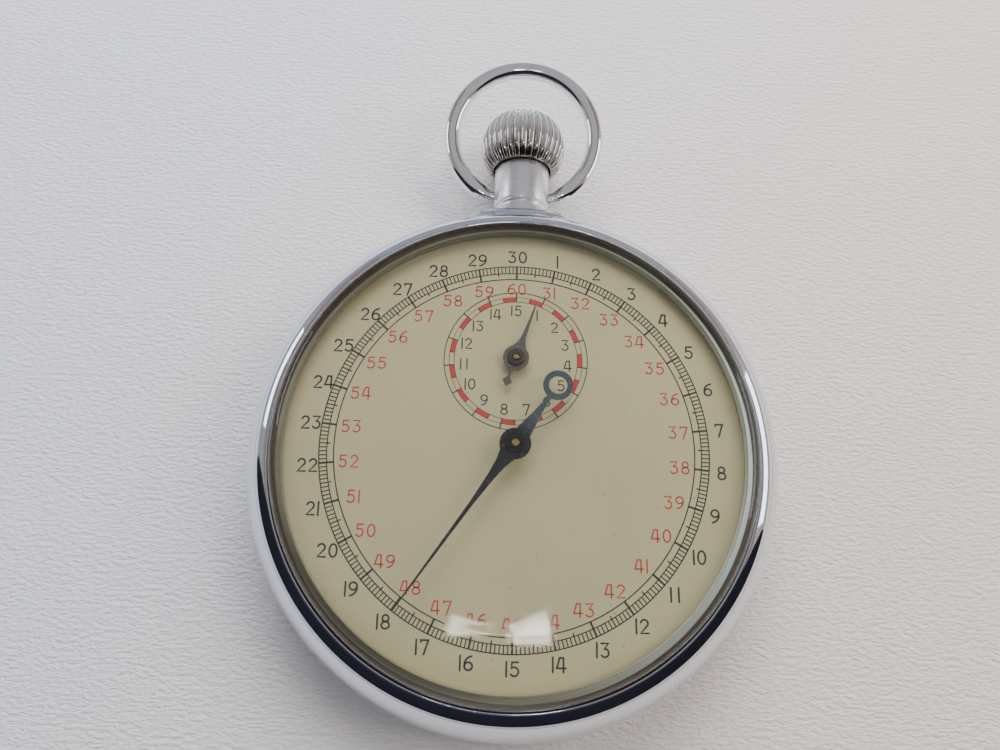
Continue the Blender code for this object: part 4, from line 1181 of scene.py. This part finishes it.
# ------------------------------------------------------------------ dial printing
class Numerals:
    """Thin single-stroke figures, drawn in a box one unit high."""

    WIDTH = 0.65
    BAR_WIDTH = 0.10
    BAR_GAP = 0.26

    @staticmethod
    def curve(centre: Point, reach: Point, start: float, end: float, steps: int = 12) -> Outline:
        """Part of an ellipse, between two angles in degrees."""
        return [(centre[0] + reach[0] * cos(radians(start + (end - start) * i / steps)),
                 centre[1] + reach[1] * sin(radians(start + (end - start) * i / steps)))
                for i in range(steps + 1)]

    @classmethod
    def width(cls, figure: str) -> float:
        """How wide a figure is."""
        return cls.BAR_WIDTH if figure == "1" else cls.WIDTH

    @classmethod
    def places(cls, text: str, spacing: float) -> list[float]:
        """Where each figure of a number starts, about the number's middle.

        Args:
            text: The figures.
            spacing: Space between two figures; two bars side by side stand further apart.

        Returns:
            The left edge of each figure.
        """
        starts = []
        across = 0.0
        for i, figure in enumerate(text):
            starts.append(across)
            across += cls.width(figure) + (spacing + cls.BAR_GAP if text[i:i + 2] == "11" else spacing)
        total = starts[-1] + cls.width(text[-1])
        return [start - total / 2 for start in starts]

    @classmethod
    def strokes(cls, figure: str) -> list[Outline]:
        """The strokes of one figure.

        Args:
            figure: One of the ten digits.

        Returns:
            The centre line of each stroke.
        """
        c = cls.curve
        drawn: dict[str, list[Outline]] = {
            "0": [c((0.325, 0.5), (0.28, 0.47), 90, 450, 24)],
            "1": [[(0.05, 0.0), (0.05, 1.0)]],
            "2": [c((0.32, 0.71), (0.265, 0.26), 165, -30, 12) + [(0.05, 0.03), (0.62, 0.03)]],
            "3": [[(0.06, 0.97), (0.57, 0.97), (0.28, 0.60)] + c((0.30, 0.315), (0.29, 0.285), 92, -148, 14)],
            "4": [[(0.50, 0.0), (0.50, 0.97), (0.23, 0.97), (0.02, 0.27), (0.66, 0.27)]],
            "5": [[(0.58, 0.97), (0.14, 0.97), (0.10, 0.57)]
                  + c((0.30, 0.335), (0.30, 0.305), 124, -146, 14)],
            "6": [c((0.66, 0.40), (0.61, 0.58), 98, 168, 8) + c((0.335, 0.30), (0.285, 0.27), 180, 540, 20)],
            "7": [[(0.06, 0.85), (0.06, 0.97), (0.61, 0.97), (0.29, 0.0)]],
            "8": [c((0.325, 0.745), (0.235, 0.225), 90, 450, 18),
                  c((0.325, 0.27), (0.285, 0.25), 90, 450, 20)],
            "9": [c((0.315, 0.70), (0.285, 0.27), 0, 360, 20) + c((-0.01, 0.60), (0.61, 0.58), 0, -80, 8)],
        }
        return drawn[figure]


@dataclass
class Printing:
    """One colour of the dial's printing, gathered as flat strokes and made into one piece."""

    name: str
    finish: Finish
    base: float
    thickness: float = 0.012

    def __post_init__(self) -> None:
        """Start with a bare plate."""
        self.points: list[tuple[float, float, float]] = []
        self.faces: list[tuple[int, ...]] = []

    def stroke(self, path: Outline, width: float, soft: bool = True) -> None:
        """Print a line of even width.

        Args:
            path: Its centre line; a path that ends where it starts is a closed ring.
            width: Its width.
            soft: Whether its ends are rounded.
        """
        closed = hypot(path[0][0] - path[-1][0], path[0][1] - path[-1][1]) < 1e-6
        line = path[:-1] if closed else list(path)
        widths = [width / 2] * len(line)
        if soft and not closed:
            line, widths = self.rounded(line, width)
        count = len(line)
        start = len(self.points)
        for i, (x, y) in enumerate(line):
            before = line[i - 1] if i or closed else line[i]
            after = line[(i + 1) % count] if i < count - 1 or closed else line[i]
            nx, ny = self.mitre(before, (x, y), after)
            for side, z in ((-1, 0.0), (1, 0.0), (1, self.thickness), (-1, self.thickness)):
                self.points.append((x + side * nx * widths[i], y + side * ny * widths[i], self.base + z))
        for i in range(count if closed else count - 1):
            a = start + 4 * i
            b = start + 4 * ((i + 1) % count)
            self.faces += [(a + k, a + (k + 1) % 4, b + (k + 1) % 4, b + k) for k in range(4)]
        if not closed:
            last = start + 4 * (count - 1)
            self.faces += [tuple(start + k for k in range(4)), tuple(last + k for k in range(4))]

    @staticmethod
    def rounded(line: Outline, width: float) -> tuple[Outline, list[float]]:
        """A line with two narrower points added at each end.

        Args:
            line: The centre line.
            width: Its width.

        Returns:
            The longer line, and half its width at each point.
        """
        steps = ((0.5, 0.28), (0.32, 0.78))
        head = [Printing.beyond(line[1], line[0], share * width) for share, _ in steps]
        tail = [Printing.beyond(line[-2], line[-1], share * width) for share, _ in reversed(steps)]
        ends = [share * width / 2 for _, share in steps]
        return head + list(line) + tail, ends + [width / 2] * len(line) + ends[::-1]

    @staticmethod
    def beyond(inner: Point, end: Point, distance: float) -> Point:
        """The point past an end of a line, at a distance."""
        share = distance / hypot(end[0] - inner[0], end[1] - inner[1])
        return (end[0] + (end[0] - inner[0]) * share, end[1] + (end[1] - inner[1]) * share)

    @staticmethod
    def mitre(before: Point, here: Point, after: Point) -> Point:
        """The side direction at a corner, longer where the corner is sharp.

        Args:
            before: The point before the corner.
            here: The corner.
            after: The point after it.

        Returns:
            The direction, longer than one where the line bends.
        """
        sides = []
        for a, b in ((before, here), (here, after)):
            length = hypot(b[0] - a[0], b[1] - a[1])
            if length > 1e-9:
                sides.append(((a[1] - b[1]) / length, (b[0] - a[0]) / length))
        nx = sum(s[0] for s in sides) / len(sides)
        ny = sum(s[1] for s in sides) / len(sides)
        size = max(hypot(nx, ny), 0.55)
        return (nx / size ** 2, ny / size ** 2)

    def ring(self, radius: float, width: float, centre: Point = (0.0, 0.0), steps: int = 240) -> None:
        """Print a circle."""
        self.stroke([Bench.polar(radius, FULL_TURN * i / steps, centre) for i in range(steps)]
                    + [Bench.polar(radius, 0.0, centre)], width)

    def tick(self, inner: float, outer: float, reading: float, width: float,
             centre: Point = (0.0, 0.0)) -> None:
        """Print a radial line at a reading in degrees clockwise from the top."""
        angle = DIAL_TURN + pi / 2 - radians(reading)
        self.stroke([Bench.polar(inner, angle, centre), Bench.polar(outer, angle, centre)], width, False)

    def number(self, text: str, middle: Point, height: float, width: float, spacing: float = 0.22) -> None:
        """Print an upright number.

        Args:
            text: Its figures.
            middle: Where its middle stands.
            height: Height of the figures.
            width: Width of the strokes.
            spacing: Space between figures, as a share of the height.
        """
        right = Vector((cos(DIAL_TURN), sin(DIAL_TURN))) * height
        up = Vector((-sin(DIAL_TURN), cos(DIAL_TURN))) * height
        for figure, across in zip(text, Numerals.places(text, spacing)):
            for path in Numerals.strokes(figure):
                placed = [Vector(middle) + (across + u) * right + (v - 0.5) * up for u, v in path]
                self.stroke([(spot.x, spot.y) for spot in placed], width)

    def build(self) -> bpy.types.Object:
        """Make the piece."""
        piece = Bench.mesh(self.name, self.points, self.faces, self.finish)
        return settle(piece, "case", "dial")


@dataclass
class Dial:
    """The dial plate with its two tracks and their numbers."""

    radius: float = 21.55
    thickness: float = 0.4
    track: float = 18.0
    sub_radius: float = 8.4
    sub_unit: float = 18.0
    number_centre: Point = (0.05, -0.07)
    red_squeeze: float = 0.978

    def place(self, radius: float, reading: float, centre: Point = (0.0, 0.0)) -> Point:
        """The place at a reading in degrees clockwise from the top."""
        return Bench.polar(radius, DIAL_TURN + pi / 2 - radians(reading), centre)

    def build(self) -> None:
        """Make the plate and its printing."""
        sub = self.place(self.sub_radius, 0.0)
        holes = [Bench.circle(0.9, 48), Bench.circle(0.7, 40, sub)]
        plate = Bench.plate("dial_plate", Bench.circle(self.radius, 256), holes, DIAL_TOP - self.thickness,
                            DIAL_TOP - 0.012, LACQUER, 0.03)
        settle(plate, "case", "dial", "dial")
        black = Printing("black_printing", BLACK_INK, DIAL_TOP - 0.014)
        red = Printing("red_printing", RED_INK, DIAL_TOP - 0.013)
        self.seconds_track(black, red)
        self.minutes_track(black, red, sub)
        black.build()
        red.build()

    def seconds_track(self, black: Printing, red: Printing) -> None:
        """Thirty seconds to the turn, in tenths, numbered twice round.

        Args:
            black: The black printing.
            red: The red printing.
        """
        unit = self.track
        for share, width in ((1.0, 0.11), (0.96, 0.10), (0.925, 0.11)):
            black.ring(share * unit, width)
        seconds, tenths = 30, 10
        for i in range(seconds * tenths):
            reading = 360.0 * i / (seconds * tenths)
            if i % tenths == 0:
                black.tick(0.925 * unit, unit, reading, 0.19)
            elif i % tenths == tenths // 2:
                black.tick(0.943 * unit, unit, reading, 0.12)
            else:
                black.tick(0.96 * unit, unit, reading, 0.11)
        for second in range(1, seconds + 1):
            reading = 360.0 * second / seconds
            black.number(str(second), self.place(1.061 * unit, reading, self.number_centre), 1.19, 0.17)
            x, y = self.place(0.868 * unit, reading)
            red.number(str(second + seconds), (x * self.red_squeeze, y), 1.13, 0.13, 0.27)

    def minutes_track(self, black: Printing, red: Printing, centre: Point) -> None:
        """Fifteen minutes to the turn, with a red bar before each.

        Args:
            black: The black printing.
            red: The red printing.
            centre: The middle of the track.
        """
        unit = self.sub_unit
        for share, width in ((0.380, 0.085), (0.353, 0.05), (0.327, 0.06)):
            black.ring(share * unit, width, centre, 120)
        minutes = 15
        step = 360.0 / minutes
        for minute in range(minutes):
            reading = step * minute
            black.tick(0.327 * unit, 0.380 * unit, reading, 0.12, centre)
            black.tick(0.327 * unit, 0.353 * unit, reading - step / 2, 0.085, centre)
            bar = [self.place(0.340 * unit, reading - step / 2 * share, centre)
                   for share in (0.98, 0.75, 0.5, 0.25, 0.02)]
            red.stroke(bar, 0.026 * unit * 0.9, False)
            number = minute or minutes
            black.number(str(number), self.place(0.276 * unit, reading, centre), 1.03, 0.12)


# ------------------------------------------------------------------ hands
@dataclass
class Hand:
    """A flat hand with a round hub and a raised collet, on a brass pin."""

    name: str
    node: str
    pin_node: str
    body: str
    finish: BluedSteel
    collet_finish: Finish
    hub: float
    bore: float
    blade: tuple[Point, ...]
    tail: tuple[Point, ...]
    neck: float
    tail_neck: float
    collet_height: float

    def turned(self, outline: Outline) -> Outline:
        """An outline that points to the dial's top, turned to the hand's reading and moved to its pin.

        Args:
            outline: The outline, about the hand's own pin.

        Returns:
            The outline in its place.
        """
        centre = middle_of(self.pin_node)
        angle = DIAL_TURN - radians(self.finish.reading)
        return [(centre.x + x * cos(angle) - y * sin(angle), centre.y + x * sin(angle) + y * cos(angle))
                for x, y in outline]

    def hub_side(self) -> list[Point]:
        """The hub's right edge from the tail to the blade, as (along, half width).

        Returns:
            The edge's points.
        """
        low = -pi / 2 + asin(self.tail_neck / self.hub)
        high = pi / 2 - asin(self.neck / self.hub)
        steps = 20
        angles = [low + (high - low) * i / steps for i in range(steps + 1)]
        return [(self.hub * sin(angle), self.hub * cos(angle)) for angle in angles]

    def collet(self, low: float) -> bpy.types.Object:
        """The raised ring that holds the hand to its pin.

        Args:
            low: Height of the hand's top.

        Returns:
            The ring.
        """
        high = low + self.collet_height
        inner, outer = self.bore, self.hub * 0.66
        profile = [(inner, low - 0.02), (outer, low - 0.02), (outer, high - 0.12),
                   (outer - 0.03, high - 0.05), (outer - 0.1, high), (inner + 0.14, high),
                   (inner + 0.04, high - 0.04), (inner, high - 0.1)]
        ring = Bench.revolve(f"{self.name}_collet", profile, self.collet_finish, 64)
        ring.location = Vector((*middle_of(self.pin_node).xy, 0.0)) * MM
        return ring

    def build(self, holes: Sequence[Outline]) -> None:
        """Make the hand and its collet.

        Args:
            holes: Holes in the tail.
        """
        side = [*self.tail, *self.hub_side(), *self.blade]
        outline = [(w, along) for along, w in side] + [(-w, along) for along, w in side[::-1] if w > 0]
        low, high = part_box(self.node)
        bore = Bench.circle(self.bore, 32)
        piece = Bench.plate(self.name, self.turned(outline), [self.turned(h) for h in (bore, *holes)],
                            low.z / MM, high.z / MM, self.finish, 0.035)
        settle(piece, self.body, "blued_steel", self.node)
        settle(self.collet(high.z / MM), self.body, "blued_steel")


@dataclass
class Hands:
    """The two hands, and the domed ends of their pins."""

    ring_centre: float = 6.75
    ring_outer: float = 1.4
    ring_inner: float = 0.85
    lozenge: float = 2.45

    def build(self) -> None:
        """Make both hands and the ends of their pins."""
        ring = [(-self.ring_centre - self.ring_outer * cos(radians(a)), self.ring_outer * sin(radians(a)))
                for a in range(0, 171, 5)]
        hole = [(x, y - self.ring_centre) for x, y in Bench.circle(self.ring_inner, 48)]
        Hand("sweep_hand", "seconds_hand", "sweep_arbor", "sweep", HAND_STEEL, HUB_STEEL, 1.44, 0.385,
             ((2.2, 0.52), (3.6, 0.36), (5.2, 0.26), (6.6, 0.19), (12.0, 0.12), (17.87, 0.05)),
             (*ring, (-4.9, 0.20), (-3.4, 0.38), (-2.2, 0.58)), 0.80, 0.72, 0.42).build([hole])
        k = self.lozenge
        Hand("minute_counter_hand", "minute_hand", "minute_arbor", "minute", SMALL_HAND_STEEL,
             SMALL_HUB_STEEL, 1.24, 0.345, ((1.5, 0.42), (2.0, 0.26), (3.2, 0.17), (5.5, 0.07)),
             ((-k - 0.5, 0.0), (-k, 0.47), (-k + 0.5, 0.13)), 0.66, 0.17, 0.25).build([])
        self.pin("sweep_pin", "sweep_arbor", "sweep", 0.30)
        self.pin("minute_pin", "minute_arbor", "minute", 0.26)

    def pin(self, name: str, node: str, body: str, radius: float) -> None:
        """The polished domed end of an arbor, set into its top.

        Args:
            name: The piece's name.
            node: The arbor.
            body: The body that the arbor rides on.
            radius: Its radius.
        """
        top = top_of(node)
        dome = [(radius * cos(radians(a)), top - radius * 0.9 * (1 - sin(radians(a))))
                for a in range(0, 86, 9)]
        piece = Bench.revolve(name, [(radius, top - radius), *dome], PIN_BRASS, 48, True)
        piece.location = Vector((*middle_of(node).xy, 0.0)) * MM
        settle(piece, body, "brass")


# ------------------------------------------------------------------ movement
class Metal(Enum):
    """What the inner pieces are made of, by the record's slots."""

    BRASS = ("brass", BRASS)
    GILT = ("gilt", GILT)
    STEEL = ("steel", WHEEL_STEEL)
    SPRING = ("spring_steel", SPRING)


@dataclass
class Movement:
    """The inner pieces, which keep their CAD shapes."""

    edge: float = 0.02

    def build(self) -> None:
        """Dress every piece of the frame that nothing stands for."""
        slots = {row["node"]: row["material_slot"] for row in frame["record"]["subparts"]}
        finishes = {metal.value[0]: metal.value[1] for metal in Metal}
        for name, node in sorted(frame["nodes"].items()):
            if node.hide_render:
                continue
            node.data.materials.clear()
            node.data.materials.append(finishes[slots[name]].material())
            LOG.info("%s is dressed in %s", name, slots[name])


# ------------------------------------------------------------------ studio
@dataclass
class Studio:
    """Floor, room, lights and camera."""

    floor_half: float = 600.0
    room_strength: float = 0.58
    overhead: float = 500.0
    lens: float = 26.16
    camera_place: tuple[float, float, float] = (-1.81, -11.80, 76.18)
    camera_turn: tuple[float, float, float] = (0.27322, -0.013372, 0.03652)

    def build(self) -> None:
        """Set the stage and the camera."""
        self.build_floor()
        self.build_room()
        self.build_lights()
        self.build_camera()

    def build_floor(self) -> None:
        """A sheet of heavy paper under the watch."""
        h = self.floor_half
        self.sheet("paper_floor", [(-h, -h, 0.0), (h, -h, 0.0), (h, h, 0.0), (-h, h, 0.0)], PAPER)

    def card(self, name: str, azimuth: tuple[float, float], distance: float, heights: tuple[float, float],
             finish: Finish, tapered: bool = False) -> None:
        """A card bent round the watch, for the polished plate to mirror.

        Args:
            name: Its name.
            azimuth: Degrees clockwise from the crown at its two ends.
            distance: How far off it stands.
            heights: Its lower and upper edge.
            finish: What it is dressed in.
            tapered: Whether it falls away towards both ends.
        """
        steps = 48
        points = []
        for share in (0.0, 1.0):
            for i in range(steps + 1):
                angle = pi / 2 - radians(azimuth[0] + (azimuth[1] - azimuth[0]) * i / steps)
                height = 0.08 + 0.92 * sin(pi * i / steps) ** 0.7 if tapered else 1.0
                points.append((*Bench.polar(distance, angle),
                               heights[0] + (heights[1] - heights[0]) * share * height))
        faces = [(i, i + 1, i + steps + 2, i + steps + 1) for i in range(steps)]
        self.hang(Bench.mesh(name, points, faces, finish))

    def sheet(self, name: str, corners: Sequence[tuple[float, float, float]],
              finish: Finish) -> bpy.types.Object:
        """A flat sheet with the given corners."""
        return Bench.mesh(name, corners, [tuple(range(len(corners)))], finish)

    def hang(self, piece: bpy.types.Object) -> None:
        """Put a card in the room, where it is mirrored but doesn't stand in any view."""
        piece.visible_camera = False

    def build_room(self) -> None:
        """A pale room, the dark shape at the foot of the watch, and the windows that the plate mirrors."""
        world = bpy.data.worlds.new("pale_room")
        world.use_nodes = True
        tree = world.node_tree
        ground = tree.nodes["Background"]
        source = tree.nodes.new("ShaderNodeTexCoord")
        parts = tree.nodes.new("ShaderNodeSeparateXYZ")
        tree.links.new(source.outputs["Generated"], parts.inputs[0])
        ramp = tree.nodes.new("ShaderNodeValToRGB")
        ramp.color_ramp.elements[0].color = Tone(0.62, 0.68, 0.84).rgba()
        ramp.color_ramp.elements[1].color = Tone(0.88, 0.82, 0.78).rgba()
        shift = tree.nodes.new("ShaderNodeMapRange")
        shift.inputs["From Min"].default_value = -1.0
        tree.links.new(parts.outputs["X"], shift.inputs["Value"])
        tree.links.new(shift.outputs["Result"], ramp.inputs["Fac"])
        tree.links.new(ramp.outputs["Color"], ground.inputs["Color"])
        ground.inputs["Strength"].default_value = self.room_strength
        bpy.context.scene.world = world
        self.card("dark_figure", (98.0, 274.0), 190.0, (3.0, 420.0), DARK_CARD, True)
        self.card("right_wall", (34.0, 116.0), 430.0, (110.0, 520.0), WALL_CARD)
        self.card("left_wall", (254.0, 330.0), 430.0, (110.0, 520.0), WALL_CARD)
        self.card("right_window_pane", (62.0, 96.0), 320.0, (70.0, 190.0), WINDOW_CARD)
        self.card("left_window_pane", (282.0, 306.0), 340.0, (80.0, 170.0), WINDOW_CARD)
        pane = ((9.0, -143.0), (38.0, -128.0), (57.0, -115.0), (65.0, -148.0), (66.0, -159.0), (23.0, -159.0))
        glint = ((-63.0, -154.0), (-63.0, -138.0), (-56.0, -132.0), (-32.0, -139.0), (0.0, -142.5),
                 (-38.0, -147.0))
        for name, outline in (("overhead_pane", pane), ("overhead_glint", glint)):
            self.hang(self.sheet(name, [(x, y, self.overhead) for x, y in outline], GLARE_CARD))

    def light(self, name: str, place: tuple[float, float, float], size: float, power: float,
              tone: Tone) -> None:
        """A soft square light aimed at the dial, which polished pieces don't mirror.

        Args:
            name: Its name.
            place: Where it hangs, in millimetres.
            size: Its side, in millimetres.
            power: Watts.
            tone: Its colour.
        """
        data = bpy.data.lights.new(name, "AREA")
        data.size = size * MM
        data.energy = power
        data.color = tone.rgba()[:3]
        lamp = bpy.data.objects.new(name, data)
        lamp.location = tuple(c * MM for c in place)
        aim = Vector((0.0, 0.0, DIAL_TOP * MM)) - lamp.location
        lamp.rotation_euler = aim.to_track_quat("-Z", "Y").to_euler()
        lamp.visible_glossy = False
        bpy.context.scene.collection.objects.link(lamp)

    def build_lights(self) -> None:
        """A soft light on the right, one beyond the crown and a weak fill on the left."""
        self.light("right_light", (330.0, 90.0, 330.0), 240.0, 1.7, Tone(1.0, 0.96, 0.90))
        self.light("far_light", (10.0, 270.0, 210.0), 260.0, 2.15, Tone(0.98, 0.98, 1.0))
        self.light("left_fill", (-360.0, 60.0, 300.0), 320.0, 0.6, Tone(0.86, 0.92, 1.0))

    def build_camera(self) -> None:
        """The camera over the dial, tipped towards the crown."""
        data = bpy.data.cameras.new("over_dial")
        data.lens = self.lens
        data.sensor_width = 36.0
        data.clip_start = 0.002
        data.clip_end = 10.0
        camera = bpy.data.objects.new("over_dial", data)
        camera.rotation_euler = Euler(self.camera_turn)
        camera.location = Vector(self.camera_place) * MM
        bpy.context.scene.collection.objects.link(camera)
        bpy.context.scene.camera = camera


def main() -> None:
    """Build the watch and its studio."""
    logging.basicConfig(level=logging.INFO, format="%(name)s: %(message)s")
    for assembly in (Case(), Crystal(), Pendant(), Dial(), Hands(), Movement(), Studio()):
        assembly.build()
        LOG.info("%s is finished", type(assembly).__name__)


if __name__ == "__main__":
    main()
